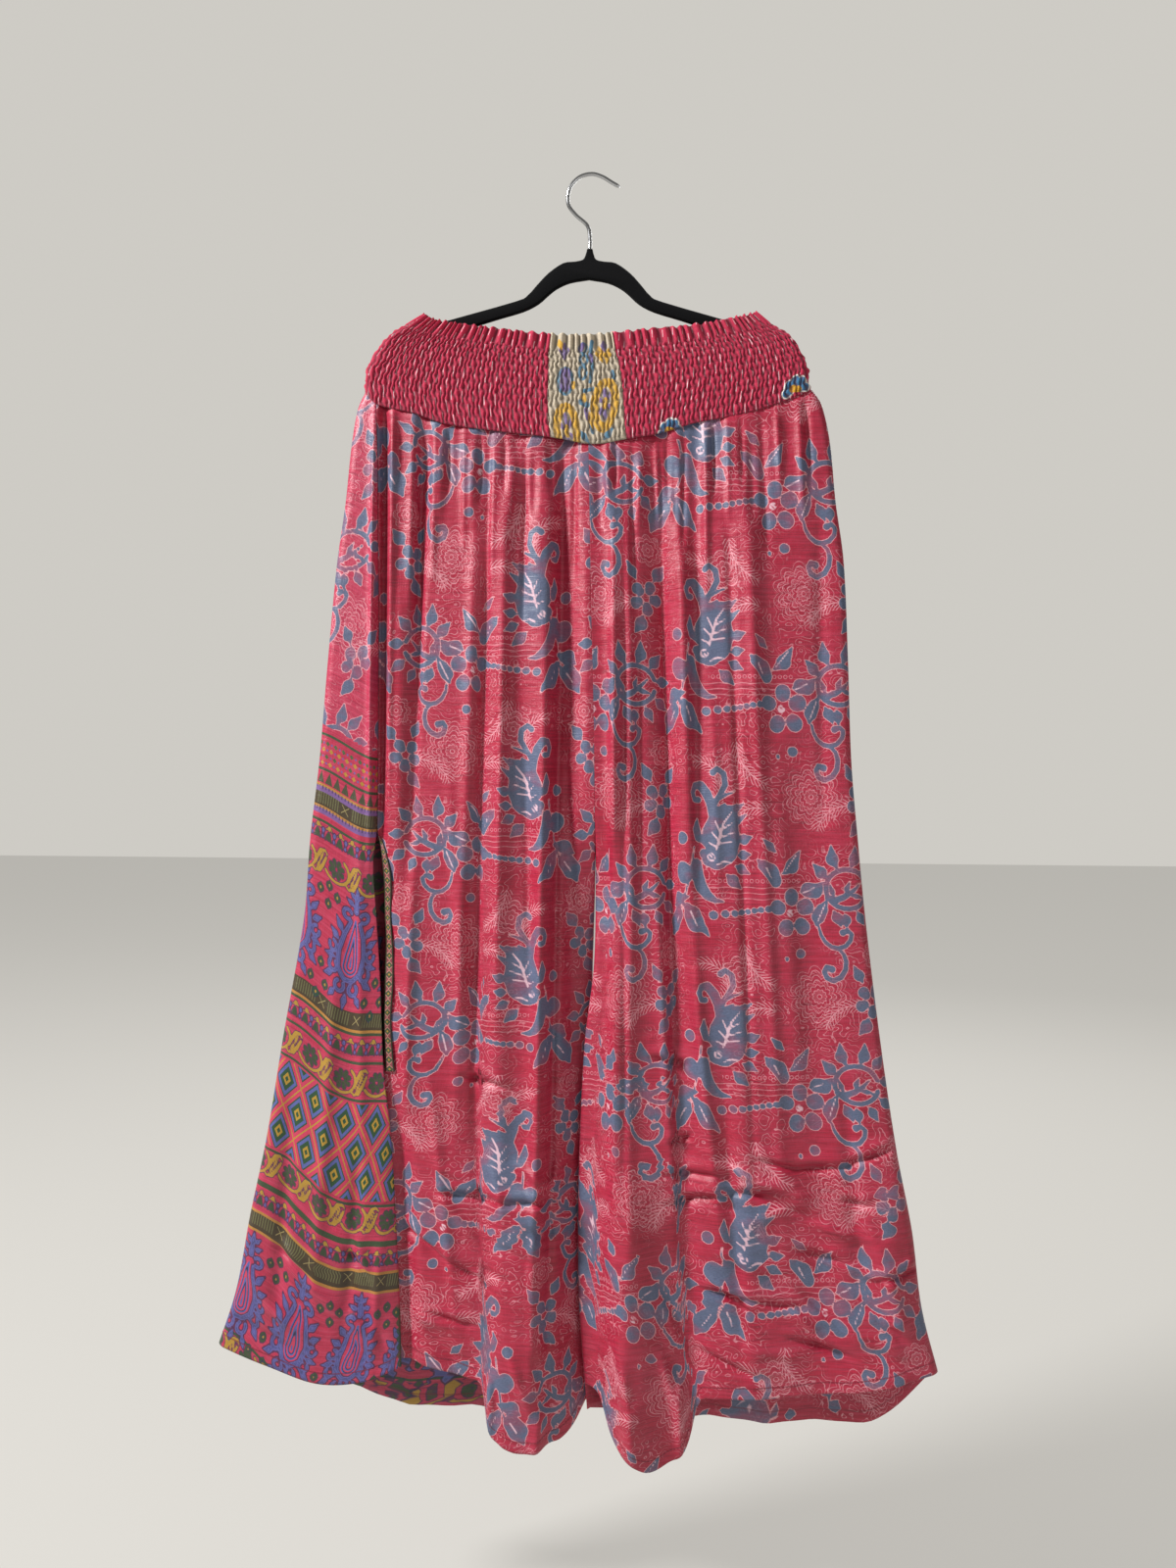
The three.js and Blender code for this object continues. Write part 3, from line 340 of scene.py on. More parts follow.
def cloth_shell(name, points, outs, flat, fields, node, thickness=CLOTH, step=2):
    """One closed piece of cloth: the outer face, a plainer inside face and the rim between them"""
    rows, columns = points.shape[:2]
    keep_rows, keep_columns = (np.unique([*range(0, count, step), count - 1])
                               for count in (rows, columns))
    inside = (points - outs * thickness)[np.ix_(keep_rows, keep_columns)]
    outer = np.arange(rows * columns).reshape(rows, columns)
    inner = rows * columns + np.arange(inside.shape[0] * inside.shape[1]).reshape(inside.shape[:2])
    quads = np.stack([outer[:-1, :-1], outer[1:, :-1], outer[1:, 1:], outer[:-1, 1:]], -1).reshape(-1, 4)
    back = np.stack([inner[:-1, :-1], inner[:-1, 1:], inner[1:, 1:], inner[1:, :-1]], -1).reshape(-1, 4)
    rim = zip_rims(outer[0], range(columns), inner[0], keep_columns)
    rim += zip_rims(outer[:, -1], range(rows), inner[:, -1], keep_rows)
    turned = zip_rims(outer[-1], range(columns), inner[-1], keep_columns)
    turned += zip_rims(outer[:, 0], range(rows), inner[:, 0], keep_rows)
    rim += [(a, c, b) for a, b, c in turned]
    vertices = np.concatenate([points.reshape(-1, 3), inside.reshape(-1, 3)]) * MM
    mesh = bpy.data.meshes.new(name)
    mesh.from_pydata(vertices.tolist(), [],
                     quads.tolist() + back.tolist() + [[int(i) for i in f] for f in rim])
    mesh.polygons.foreach_set("use_smooth", np.ones(len(mesh.polygons), bool))
    flat_all = np.concatenate([flat.reshape(-1, 2), flat[np.ix_(keep_rows, keep_columns)].reshape(-1, 2)])
    corner = np.empty(len(mesh.loops), np.int32)
    mesh.loops.foreach_get("vertex_index", corner)
    mesh.uv_layers.new(name="flat_cloth").data.foreach_set("uv",
                                                           flat_all[corner].astype(np.float32).ravel())
    for field, values in fields.items():
        both = np.concatenate([values.ravel(), values[np.ix_(keep_rows, keep_columns)].ravel()])
        mesh.attributes.new(field, "FLOAT", "POINT").data.foreach_set("value", both.astype(np.float32))
    piece = bpy.data.objects.new(name, mesh)
    bpy.context.scene.collection.objects.link(piece)
    declare(piece, node)
    steps = np.linalg.norm(np.diff(points, axis=1), axis=-1)
    triangles = 2 * len(quads) + 2 * len(back) + len(rim)
    print(f"{name}: {triangles} triangles, mean column step {steps.mean():.2f} mm")
    return piece


def along_cloth(points, from_column):
    """Distance along each row of the cloth, counted from one of its columns"""
    steps = np.linalg.norm(np.diff(points, axis=1), axis=-1)
    length = np.concatenate([np.zeros((len(points), 1)), np.cumsum(steps, axis=1)], axis=1)
    return length - length[:, from_column : from_column + 1]


# %% [markdown]
# The prints are charted as short strokes with a start and an end width, as a block cutter
# would carve them: round dots, petals that widen outwards, leaves and curling stems. The signed
# distance to the nearest stroke is stored at each point of the cloth. It is below 0 inside a shape,
# so a material can fill the shape and draw a thin outline round it at any width it likes.

# %% Strokes of a printed motif: start u, v, radius and end u, v, radius
def petals(u, v, count, first, near, far, near_radius, far_radius, turn=360):
    rows = []
    for i in range(count):
        angle = math.radians(first + turn * i / count)
        du, dv = math.cos(angle), math.sin(angle)
        rows.append((u + du * near, v + dv * near, near_radius, u + du * far, v + dv * far, far_radius))
    return rows


def stem(*places):
    return [(*a, *b) for a, b in zip(places[:-1], places[1:])]


def leaf(u0, v0, u1, v1, half_width, bend=0.0):
    mid_u = lerp(u0, u1, 0.42) + bend * (v1 - v0)
    mid_v = lerp(v0, v1, 0.42) - bend * (u1 - u0)
    return stem((u0, v0, 0.6), (mid_u, mid_v, half_width), (u1, v1, 0.3))


def ring(u, v, radius_u, radius_v, half_width, first=0, turn=360, steps=14):
    angles = [math.radians(first + turn * i / steps) for i in range(steps + 1)]
    return stem(*[(u + radius_u * math.cos(a), v + radius_v * math.sin(a), half_width) for a in angles])


FAR_AWAY = 30.0  # a distance at which nothing is printed


def printed_distance(u, v, strokes, width=None, height=None):
    """Signed distance to the nearest stroke, repeated every width and height where they are given"""
    nearest = np.full(u.shape, FAR_AWAY)
    for u0, v0, r0, u1, v1, r1 in strokes:
        du, dv = u - (u0 + u1) / 2, v - (v0 + v1) / 2
        if width:
            du = du - width * np.round(du / width)
        if height:
            dv = dv - height * np.round(dv / height)
        half_u, half_v = (u1 - u0) / 2, (v1 - v0) / 2
        length = 2 * (half_u**2 + half_v**2)
        t = np.clip(((du + half_u) * half_u + (dv + half_v) * half_v) / length, 0, 1) if length else 0 * u
        aside = np.hypot(du + half_u - 2 * half_u * t, dv + half_v - 2 * half_v * t)
        nearest = np.minimum(nearest, aside - lerp(r0, r1, t))
    return nearest


# %% [markdown]
# The body print would be stamped from one carved block, so a single repeat is charted: a blue
# flower with a tail of beads, a scroll, a round bloom and large leaves, and thin pale veins that
# are left in reserve inside them. The cloth hangs a little askew, so each panel has its own row of
# places for the flower, and the print is led through them.

# %% Body print of the sari: one repeat, with u to the right and v down from the flower's middle
REPEAT_WIDTH, REPEAT_HEIGHT = 218, 186
FLOWERS = {  # where the print's flower falls on each panel, one repeat apart down the leg: x and z
    "right_front": [(162, -123), (171, -313), (180, -502), (190, -693), (199, -876), (226, -1070),
                    (240, -1262)],
    "left_front": [(-102, -100), (-104, -279), (-108, -466), (-103, -645), (-103, -819), (-134, -994),
                   (-140, -1170), (-140, -1350)],
    "right_back": [(70, -136), (74, -322), (80, -508), (86, -694), (90, -880), (94, -1066), (98, -1252)],
}
BODY_PRINT = [
    (-11, -5, 6.2, -12.5, -5.6, 6.4), (2, -13.5, 6.4, 2.2, -15.5, 6.8), (14.5, -5, 6.8, 16.5, -5.6, 7.2),
    (11, 11.5, 6.6, 12.4, 13.4, 7.0), (-4, 12.6, 6.6, -4.8, 14.4, 6.8),
    (-21.4, -4.2, 2.8, -21.8, -4.2, 2.8), (-28.4, -3.4, 2.5, -28.9, -3.4, 2.5),
    (-34.8, -2.4, 2.4, -35.1, -2.4, 2.4), (-41, -1.4, 2.4, -41.4, -1.4, 2.4),
    (-47.4, -0.5, 2.6, -47.8, -0.5, 2.6), (-54.6, 0.2, 2.9, -55, 0.2, 2.9),
    (-63.4, 0.8, 3.3, -64, 0.8, 3.2), (-74.6, 2.2, 3.9, -75.2, 2.2, 3.7),
    *stem((12.5, -19, 1), (19, -21, 6.4), (26, -20, 6.6), (34, -28, 0.5)),
    *stem((37, -11, 0.8), (32, -3, 5.2), (28, 4, 6), (26, 13, 0.6)),
    *ring(57, -22, 20.5, 18, 1.9, 20, 325, 26),
    *stem((37, -14, 1.6), (46, -12, 2.6), (54, -15, 2.4), (62, -20, 1.6), (70, -27, 0.7)),
    *leaf(44, -15, 40, -27, 2.4), *leaf(56, -17, 60, -29, 2.4, 0.1), *leaf(60, -17, 72, -14, 2.2),
    *leaf(38, -31, 25, -45, 5.4), *leaf(48, -41, 43, -62, 5.8, 0.1), *leaf(61, -42, 67, -62, 5.6, -0.1),
    *leaf(73, -37, 86, -50, 5.2), *leaf(79, -25, 95, -24, 5.0), *leaf(77, -9, 90, 2, 5.0),
    *leaf(66, -1, 73, 12, 4.4), *leaf(54, 1, 55, 14, 4.8), *leaf(43, -2, 50, 13, 4.8),
    *stem((28.5, 14, 0.9), (30, 21, 1.3), (34, 28, 1.6), (40, 32.5, 1.8), (46, 33.6, 1.9),
          (53, 31.5, 1.8), (58, 26, 1.8), (59.4, 20, 1.7), (56, 16.4, 1.5), (51, 18.4, 2.9)),
    *stem((46, 34, 1.1), (51, 39, 1.5), (53, 46, 1.9), (52, 54, 2.1), (47.5, 61, 2.2), (40, 64.6, 2.2),
          (34, 62, 2.2), (31.6, 56, 2.0), (34, 51.4, 1.8), (39, 53.6, 3.2)),
    (9, 38.8, 4.2, 9.8, 38.8, 4.0), (-5, 43, 1.5, -5, 44, 1.3),
    *stem((-30, -49, 0.6), (-25, -44, 4.8), (-17, -38, 7), (-13, -29, 5), (-16, -26, 0.6)),
    *leaf(-6, -36, 13, -57, 6.6, -0.1), *stem((-10, -38, 0.4), (-8, -30, 0.4)),
    *leaf(-12, -56, -24, -68, 3.8), *stem((-82, -54, 4), (-76, -50, 8), (-70, -52, 12), (-64, -58, 14),
                                          (-61, -68, 14.5), (-60, -80, 12), (-56, -90, 8),
                                          (-48, -98, 1.5)),
    *stem((-62, -86, 6), (-52, -92, 3), (-41, -100, 0.6)),
    *stem((-56, -80, 6), (-48, -84, 3), (-39, -90, 0.6)),
    *stem((-72, -80, 6), (-66, -92, 5), (-60, -99, 1)),
    *stem((-79, -64, 4), (-78, -76, 4), (-72, -86, 4)),
    *stem((-73, -88, 3), (-74, -99, 3.8), (-77, -108, 4.4), (-83, -116, 3.8), (-89, -116, 2.6),
          (-92, -110, 2.2), (-90, -103, 2.0), (-86, -103, 2.6)),
    *stem((-72, -97, 2.6), (-65, -107, 2.2), (-59, -117, 2.4), (-60, -127, 2.4), (-66, -131.5, 2.0),
          (-70.5, -128, 2.8)), *stem((-70, -102, 1.6), (-60, -107, 1.2), (-50, -111, 0.4)),
    *stem((-88, -85, 0.6), (-89, -76, 3.6), (-87, -68, 3.2), (-84, -64, 0.6)),
    *leaf(-48, -65, -34, -70, 4.6), *leaf(-49, -52, -36, -54, 4.4), *leaf(-52, -43, -38, -36, 4.6),
    *leaf(-61, -35, -47, -22, 5.4),
    *stem((-90, -44, 5), (-89, -34, 5.6), (-86, -24, 5.4), (-80, -16, 4.2), (-73, -11.6, 2.4),
          (-65, -10.8, 0.6)), *leaf(-101, -70, -110, -66, 5.4), (-105, -38, 8.5, -103, -36, 9),
    *leaf(-122, -6, -98, -15, 7, 0.1), *stem((-128, 22, 1), (-121, 10, 9), (-114, 2, 8), (-108, -2, 1)),
    *stem((-100, -6, 3), (-95, 2, 8), (-92, 10, 8), (-84, 16, 3), (-80, 22, 0.6)),
    *stem((-108, 4, 0.6), (-98, -30, 0.7), (-92, -60, 0.6)), *petals(76, 84, 5, -60, 8, 11, 4, 5.4),
    *leaf(68, 66, 60, 50, 5), *leaf(86, 68, 98, 54, 6), *leaf(72, 100, 62, 116, 6, 0.1),
]
PALE_FILL = [
    *ring(0, 0, 2.8, 2.8, 0.55, 0, 300, 9), (0, 0, 0.7, 0.4, 0, 0.7),
    *ring(-75, -51, 3.6, 3.4, 0.5, 0, 300, 9), (-75, -51, 0.6, -74.6, -51, 0.6),
    *stem((-70, -44, 0.5), (-63, -47, 0.7), (-56, -46, 0.4)),
    *stem((-70, -58, 0.6), (-66, -70, 0.8), (-62, -82, 0.7), (-54, -92, 0.4)),
    *stem((-67, -66, 0.6), (-74, -74, 0.4)), *stem((-65, -72, 0.6), (-70, -84, 0.4)),
    *stem((-64, -76, 0.6), (-54, -82, 0.4)), *stem((-65, -69, 0.6), (-52, -74, 0.4)),
    *stem((-67, -63, 0.6), (-55, -65, 0.4)), *stem((-69, -60, 0.6), (-77, -64, 0.4)),
    *stem((14, -18, 0.4), (26, -23, 0.5)), *stem((35, -8, 0.4), (27, 9, 0.4)),
    *leaf(-22, -42, -17, -32, 0.5), *stem((-4, -38, 0.3), (9, -53, 0.5)),
    *stem((-120, 12, 0.4), (-112, 2, 0.5)), *stem((-97, -2, 0.5), (-91, 12, 0.5)),
]

# %% [markdown]
# The border is printed with a set of small blocks, one to each band of the stack, so the motifs are
# charted apart: a vine with flowers, a paisley with scallops round it, a row of buds, a diamond.
# Each has its own width and is set down again and again along its band.

# %% Border print: vines, paisleys, buds and diamonds, each charted in its own repeat
VINE_WIDTH = 37
VINE_FLOWER = [*petals(0, 0, 8, 22.5, 2.8, 7.0, 0.9, 2.0)]
VINE_SCROLL = [
    *ring(0, 0, 13.5, 11.5, 1.25, 150, -205, 10), *stem((-18.5, 9, 1.9), (-15, 3, 1.5), (-12, -5, 1.2)),
    *stem((18.5, -9, 1.9), (15.5, -3, 1.6), (13.2, 4, 1.2)),
    *stem((-18.5, -9, 1.5), (-14.5, -11, 1.0), (-11, -8, 0.7)),
    *stem((18.5, 9, 1.5), (14, 11, 1.0), (10, 8, 0.7)), *leaf(-18.5, 1, -15, -9, 1.2),
    *leaf(18.5, 1, 15, 9, 1.2),
]
PAISLEY_WIDTH = 61
PAISLEY_CORE = stem((0, -26, 1.0), (0, -12, 4), (0, 6, 7), (0, 14, 7.6))
PAISLEY_SCALLOPS = [
    (0, -54, 0.5, 0, -46, 2.6), (0, -42, 2.2, 0, -34, 2.8), *leaf(-2, -44, -8, -50, 2.0),
    *leaf(2, -44, 8, -50, 2.0), *leaf(-3, -38, -11, -42, 2.2), *leaf(3, -38, 11, -42, 2.2),
    *ring(-9, -29, 4.4, 4, 1.5, 60, 270, 8), *ring(9, -29, 4.4, 4, 1.5, 120, -270, 8),
    *stem((-5, -24, 1.4), (-10, -12, 1.8), (-13.5, 4, 2.2), (-12, 18, 2.2), (-4, 26, 2.0), (4, 26, 2.0),
          (12, 18, 2.2), (13.5, 4, 2.2), (10, -12, 1.8), (5, -24, 1.4)), *leaf(-12, -12, -20, -22, 3.0),
    *leaf(12, -12, 20, -22, 3.0), *leaf(-15, -4, -25, -10, 3.0), *leaf(15, -4, 25, -10, 3.0),
    *ring(-20, 4, 4.2, 4.4, 1.5, -90, 280, 8), *ring(20, 4, 4.2, 4.4, 1.5, -90, -280, 8),
    *leaf(-16, 12, -28, 14, 2.8), *leaf(16, 12, 28, 14, 2.8), *ring(-17, 20, 4.6, 4.4, 1.6, -60, 280, 8),
    *ring(17, 20, 4.6, 4.4, 1.6, -120, -280, 8), *leaf(-16, 26, -26, 32, 2.8), *leaf(16, 26, 26, 32, 2.8),
    *ring(-7, 33, 4.6, 4.6, 1.6, -40, 280, 8), *ring(7, 33, 4.6, 4.6, 1.6, -140, -280, 8),
    *leaf(-11, 38, -17, 47, 2.6), *leaf(11, 38, 17, 47, 2.6), *leaf(0, 38, 0, 52, 2.8),
]
BUD_WIDTH = 12.6
BUD_GREEN = [(0, 3.2, 2.9, 0, 0.2, 1.7), *leaf(-3.4, 6.2, -1.8, 3.4, 0.8), *leaf(3.4, 6.2, 1.8, 3.4, 0.8)]
BUD_OCHRE = [(0, -5.2, 2.0, 0, -4.2, 1.6), (-3.2, -3.2, 0.9, -2.4, -3.6, 0.7),
             (3.2, -3.2, 0.9, 2.4, -3.6, 0.7)]
BUD_BLUE = [(6.3, -1.2, 1.6, 6.3, -2.4, 1.2), (6.3, 3.4, 1.0, 6.3, 4.6, 1.2)]
DIAMOND = [(0, -4.6, 0.3, 0, 0, 3.6), (0, 0, 3.6, 0, 4.6, 0.3)]
DIAMOND_EYE = [(0, -1.6, 0.3, 0, 0, 1.2), (0, 0, 1.2, 0, 1.6, 0.3)]
DIAMOND_PLACES = ((30.5, -42), (21, -36), (40, -36), (30.5, -26), (30.5, 26), (39, 42), (22, 43),
                  (30.5, 54))
BORDER_TOP, BORDER_STRETCH = -524.0, 1.033
VINES, BUD_ROWS, PAISLEY_ROWS = (114, 284, 401, 574), (87.5, 254.5, 434), ((174, 0), (520, 14))


NOT_PRINTED = 20.0


def border_fields(u, v):
    green, ochre, blue, core = (np.full(u.shape, NOT_PRINTED) for _ in range(4))
    for middle in VINES:
        green = np.minimum(green, printed_distance(u, v - middle, VINE_FLOWER, VINE_WIDTH))
        ochre = np.minimum(ochre, printed_distance(u, v - middle, VINE_SCROLL, VINE_WIDTH))
    for middle in BUD_ROWS:
        green = np.minimum(green, printed_distance(u, v - middle, BUD_GREEN, BUD_WIDTH))
        ochre = np.minimum(ochre, printed_distance(u, v - middle, BUD_OCHRE, BUD_WIDTH))
        blue = np.minimum(blue, printed_distance(u, v - middle, BUD_BLUE, BUD_WIDTH))
    for middle, aside in PAISLEY_ROWS:
        across, down = u - aside, v - middle
        blue = np.minimum(blue, printed_distance(across, down, PAISLEY_SCALLOPS, PAISLEY_WIDTH))
        core = np.minimum(core, printed_distance(across, down, PAISLEY_CORE, PAISLEY_WIDTH))
        for side, drop in DIAMOND_PLACES:
            green = np.minimum(green,
                               printed_distance(across - side, down - drop, DIAMOND, PAISLEY_WIDTH))
            ochre = np.minimum(ochre,
                               printed_distance(across - side, down - drop, DIAMOND_EYE, PAISLEY_WIDTH))
    return {"border_green": green, "border_ochre": ochre, "border_blue": blue, "paisley_core": core}


# %% [markdown]
# Each leg is cut as a front and a back, sewn at the centre seam, the inside leg and the side. On
# the leg at the viewer's left the back runs on round the side as the border panel and laps over
# the front, with a slit above it. Columns run across a panel and rows run down it; both are closer
# together where the cloth turns, so that the folded edges stay round.

# %% Columns and rows of a panel
ROUND_SHARES = (0, 0.002, 0.008, 0.018)  # the columns beside a folded edge, as shares of the width
TOP_TUCK, TOP_TUCK_SPAN, LEG_LENGTH = 1.6, 7, 900  # the top edge goes in under the waistband
ROW_SPAN, SEAM_GAP = 940, 0.05


def spread_shares(count, round_start, round_end):
    """Columns across a panel, closer together beside an edge that is rounded"""
    head = ROUND_SHARES if round_start else [0]
    tail = [1 - share for share in reversed(ROUND_SHARES)] if round_end else [1]
    return np.array([*head, *np.linspace(head[-1], tail[0], count + 1)[1:-1], *tail])


def panel_grid(face, start, end, shares, rows, hem_curve, leg, tucked=False, start_side=0, end_side=0):
    """Outer points and outward directions of one face of a panel"""
    top, low = np.full(len(shares), SEAM_LEVEL), np.full(len(shares), HEM_LEVEL)
    for _ in range(6):
        top = seam_height(lerp(start(top), end(top), shares)) + WAIST_TUCK
        low = hem_curve(lerp(start(low), end(low), shares))
    z = top + (low - top) * rows[:, None]
    x = lerp(start(z), end(z), shares[None, :])
    points, outs = cloth_place(face, x, z, leg, tucked)
    points[..., 1] -= face * TOP_TUCK * (1 - smooth(rows[:, None] * LEG_LENGTH, 0, TOP_TUCK_SPAN))
    for side, column in ((start_side, 0), (end_side, -1)):
        if side:
            edge = parting(z[:, column])[:, None] if abs(side) == 2 else np.ones((len(rows), 1))
            outs[:, column] = lerp(outs[:, column], np.array([np.sign(side), 0, 0]), edge)
            outs[:, column] /= np.linalg.norm(outs[:, column], axis=-1, keepdims=True)
            if abs(side) == 1:
                points[:, column, 1] = 0
    return points, outs


def centre_line(leg):
    inner, away = (inner_left, -1) if leg == "left" else (inner_right, 1)
    return lambda z: inner(z) + away * SEAM_GAP * (1 - parting(z))


def row_shares(fine_from, coarse, fine):
    """Rows down a leg, with the fine step in millimetres below the given share and the coarse one above"""
    upper = np.linspace(0, fine_from, max(int(fine_from * ROW_SPAN / coarse), 2), endpoint=False)
    return np.concatenate([upper, np.linspace(fine_from, 1, int((1 - fine_from) * ROW_SPAN / fine))])


def print_place(points, across, flowers):
    """The flat cloth's own places under a panel whose print hangs a little askew, as real cloth does"""
    x, down = [x for x, _ in flowers], [-z for _, z in flowers]
    order = slice(None) if points[0, 0, 0] < points[0, -1, 0] else slice(None, None, -1)
    at = np.interp(-points[..., 2].mean(axis=1), down, x)
    under = [np.interp(*row) for row in zip(at, points[:, order, 0], across[:, order])]
    return across - np.array(under)[:, None], np.interp(-points[..., 2], down,
                                                        REPEAT_HEIGHT * np.arange(len(down)))


def body_fields(points, across, v, mirrored):
    u = -across if mirrored else across
    return {"body_motif": printed_distance(u, v, BODY_PRINT, REPEAT_WIDTH, REPEAT_HEIGHT),
            "body_pale": printed_distance(u, v, PALE_FILL, REPEAT_WIDTH, REPEAT_HEIGHT),
            "to_hem": points[..., 2] - points[-1:, :, 2], }, np.stack([u, v], -1)


HEM_TURN = 11.0  # the hem is turned up and stitched this far over its edge
HEM_ENDS, THREAD_LIFT = slice(6, -6), 0.12
hem_lines = []


def keep_hem_line(points, outs):
    """The line just over the cloth's face along which the hem is stitched"""
    line = [[np.interp(column[-1, 2] + HEM_TURN, column[::-1, 2], column[::-1, axis])
             for axis in range(3)] for column in points[:, HEM_ENDS].transpose(1, 0, 2)]
    hem_lines.append(np.array(line) + THREAD_LIFT * outs[-1, HEM_ENDS])


# %% [markdown]
# The leg at the viewer's right is the plain one: a front and a back of the same crimson cloth. The
# front is drawn from the inside leg out to the side and the back returns, so both meet at the two
# edges, and the back, seen least, has wider steps.

# %% Front and back of the leg at the viewer's right
def make_right_leg():
    rows = row_shares(0, 2.0, 2.0)
    points, outs = panel_grid(-1, centre_line("right"), outline_right, spread_shares(140, True, True),
                              rows, hem["right_front"], "right", start_side=-2, end_side=1)
    across = along_cloth(points, 0)
    keep_hem_line(points, outs)
    fields, flat = body_fields(points, *print_place(points, across, FLOWERS["right_front"]), False)
    front = cloth_shell("right_leg_front", points, outs, flat, fields, "leg_right_front")
    rows = row_shares(0, 3.0, 3.0)
    points, outs = panel_grid(1, outline_right, centre_line("right"), spread_shares(100, True, True),
                              rows, hem["right_back"], "right", start_side=1, end_side=-2)
    across = -along_cloth(points, points.shape[1] - 1)
    keep_hem_line(points, outs)
    fields, flat = body_fields(points, *print_place(points, across, FLOWERS["right_back"]), True)
    back = cloth_shell("right_leg_back", points, outs, flat, fields, "leg_right_back")
    return front, back


# %% [markdown]
# On the leg at the viewer's left the back and the border panel are one cloth, so they are one
# shell that turns at the folded side. The front tucks in under the panel's free edge. The slit
# over the lap shows the border's turned edge, a narrow strip that curls a little.

# %% Front of the leg at the viewer's left, its back with the border panel, and the slit's facing
SIDE_SAG, SAG_HEIGHTS = (26, 56), (600, 1100)  # how far the border hangs down at the side, high and low
SAG_REACH, REACH_HEIGHTS, SAG_START = (62, 108), (700, 1050), -6
ABOVE_BORDER = -6  # over this v the side panel still has the body print
PLAIN_ACROSS, PLAIN_TOP, NO_EDGE = 40, -560, 60
FACING_TOP, FACING_LOW, FACING_WIDTH, FACING_LIFT = -624, -848, 8, 1.9


def border_drop(points):
    """How far the border hangs down from the folded side, where the cloth flares"""
    from_side = points[..., 0] - outline_left(points[..., 2])
    deep = lerp(*SIDE_SAG, smooth(-points[..., 2], *SAG_HEIGHTS))
    reach = lerp(*SAG_REACH, smooth(-points[..., 2], *REACH_HEIGHTS))
    return np.maximum(deep * smooth(from_side, SAG_START, reach), 0)


def make_left_leg():
    rows = row_shares(0, 2.0, 2.0)
    points, outs = panel_grid(-1, lambda z: slit_edge(z) + 0.4, centre_line("left"),
                              spread_shares(110, False, True), rows, hem["left_front"], "left",
                              tucked=True, end_side=2)
    across = along_cloth(points, points.shape[1] - 1)
    keep_hem_line(points, outs)
    fields, flat = body_fields(points, *print_place(points, across, FLOWERS["left_front"]), True)
    front = cloth_shell("left_leg_front", points, outs, flat, fields, "leg_left_front")

    rows = row_shares(0.32, 3.6, 2.1)
    back_shares = spread_shares(84, True, True)
    side_shares = spread_shares(92, True, False)
    points, outs = panel_grid(1, centre_line("left"), outline_left, back_shares, rows, hem["left_back"],
                              "left", start_side=2, end_side=-1)
    side_points, side_outs = panel_grid(-1, outline_left, side_edge, side_shares, rows, hem["side_front"],
                                        "left", start_side=-1)
    fold = points.shape[1] - 1
    points = np.concatenate([points, side_points[:, 1:]], axis=1)
    outs = np.concatenate([outs, side_outs[:, 1:]], axis=1)
    keep_hem_line(points, outs)
    across = along_cloth(points, fold)
    v = (BORDER_TOP - points[..., 2] - border_drop(points)) / BORDER_STRETCH
    fields = border_fields(across, v)
    plain, _ = body_fields(points, across + PLAIN_ACROSS, PLAIN_TOP - points[..., 2], False)
    for name in ("body_motif", "body_pale"):
        fields[name] = np.where(v < ABOVE_BORDER, plain[name], NOT_PRINTED)
    fields["to_hem"] = plain["to_hem"]
    fields["front_edge"] = np.where(np.arange(points.shape[1])[None, :] > fold, across[:, -1:] - across,
                                    NO_EDGE)
    flat = np.stack([across, v], -1)
    back = cloth_shell("left_leg_back_and_side", points, outs, flat, fields, "leg_left_back_and_side")
    return front, back


def make_slit_facing():
    left, width = through(FACING, 1), through(FACING, 2)
    z = np.linspace(FACING_TOP, FACING_LOW, 120)[:, None]
    share = np.linspace(0, 1, 9)[None, :]
    x = left(z) + width(z) * share
    points, outs = cloth_place(-1, x, np.broadcast_to(z, x.shape), "left", True)
    curl = 1.1 * np.sin(z / 9) * (share - 0.3) + 0.8 * np.sin(math.pi * share)
    points[..., 1] -= FACING_LIFT + np.maximum(curl, -0.6)
    flat = np.stack(np.broadcast_arrays(share * FACING_WIDTH, -z), -1)
    return cloth_shell("slit_facing", points, outs, flat, {}, "leg_left_slit_facing",
                       0.8, 1)


right_front, right_back = make_right_leg()
left_front, left_back = make_left_leg()
slit_facing = make_slit_facing()

# %% [markdown]
# The waistband is smocked: a wide strip of cotton is stitched over rows of elastic thread, which
# gather it into narrow ribs. Each rib is pinched where a thread crosses it and puffs up between,
# and above the first thread a loose heading opens into wider flutes. A surface is laid over the
# hanger's shoulders from four edge curves, and the ribs are added along its outward direction.

# %% Surface of the waistband, from its top edge, seam and two folds
fold_left_x, fold_left_z, fold_right_x, fold_right_z = (through(BAND_FOLDS, column)
                                                        for column in (1, 2, 3, 4))
PATCH_LEFT, PATCH_RIGHT = (0.4155, 0.4227), (0.5525, 0.592)
BAND_WIDTH, BAND_DEEP, ELASTIC_ROWS = 436.0, 103.0, 12
LAST_ROW, BAND_CLOTH, FLUTE_RIBS, NEARBY, NEARBY_DOWN = 0.97, 0.9, 1.8, 0.002, 0.008


def band_edge(across, low):
    rows = WAIST_SEAM if low else BAND_TOP
    side = 2 * across - 1
    crowding = 1 if low else TOP_CROWDING
    x = lerp(rows[0][0], rows[-1][0], (crowding * side + (1 - crowding) * side**3 + 1) / 2)
    return np.stack([x, seam_height(x) if low else top_height(x)], -1)


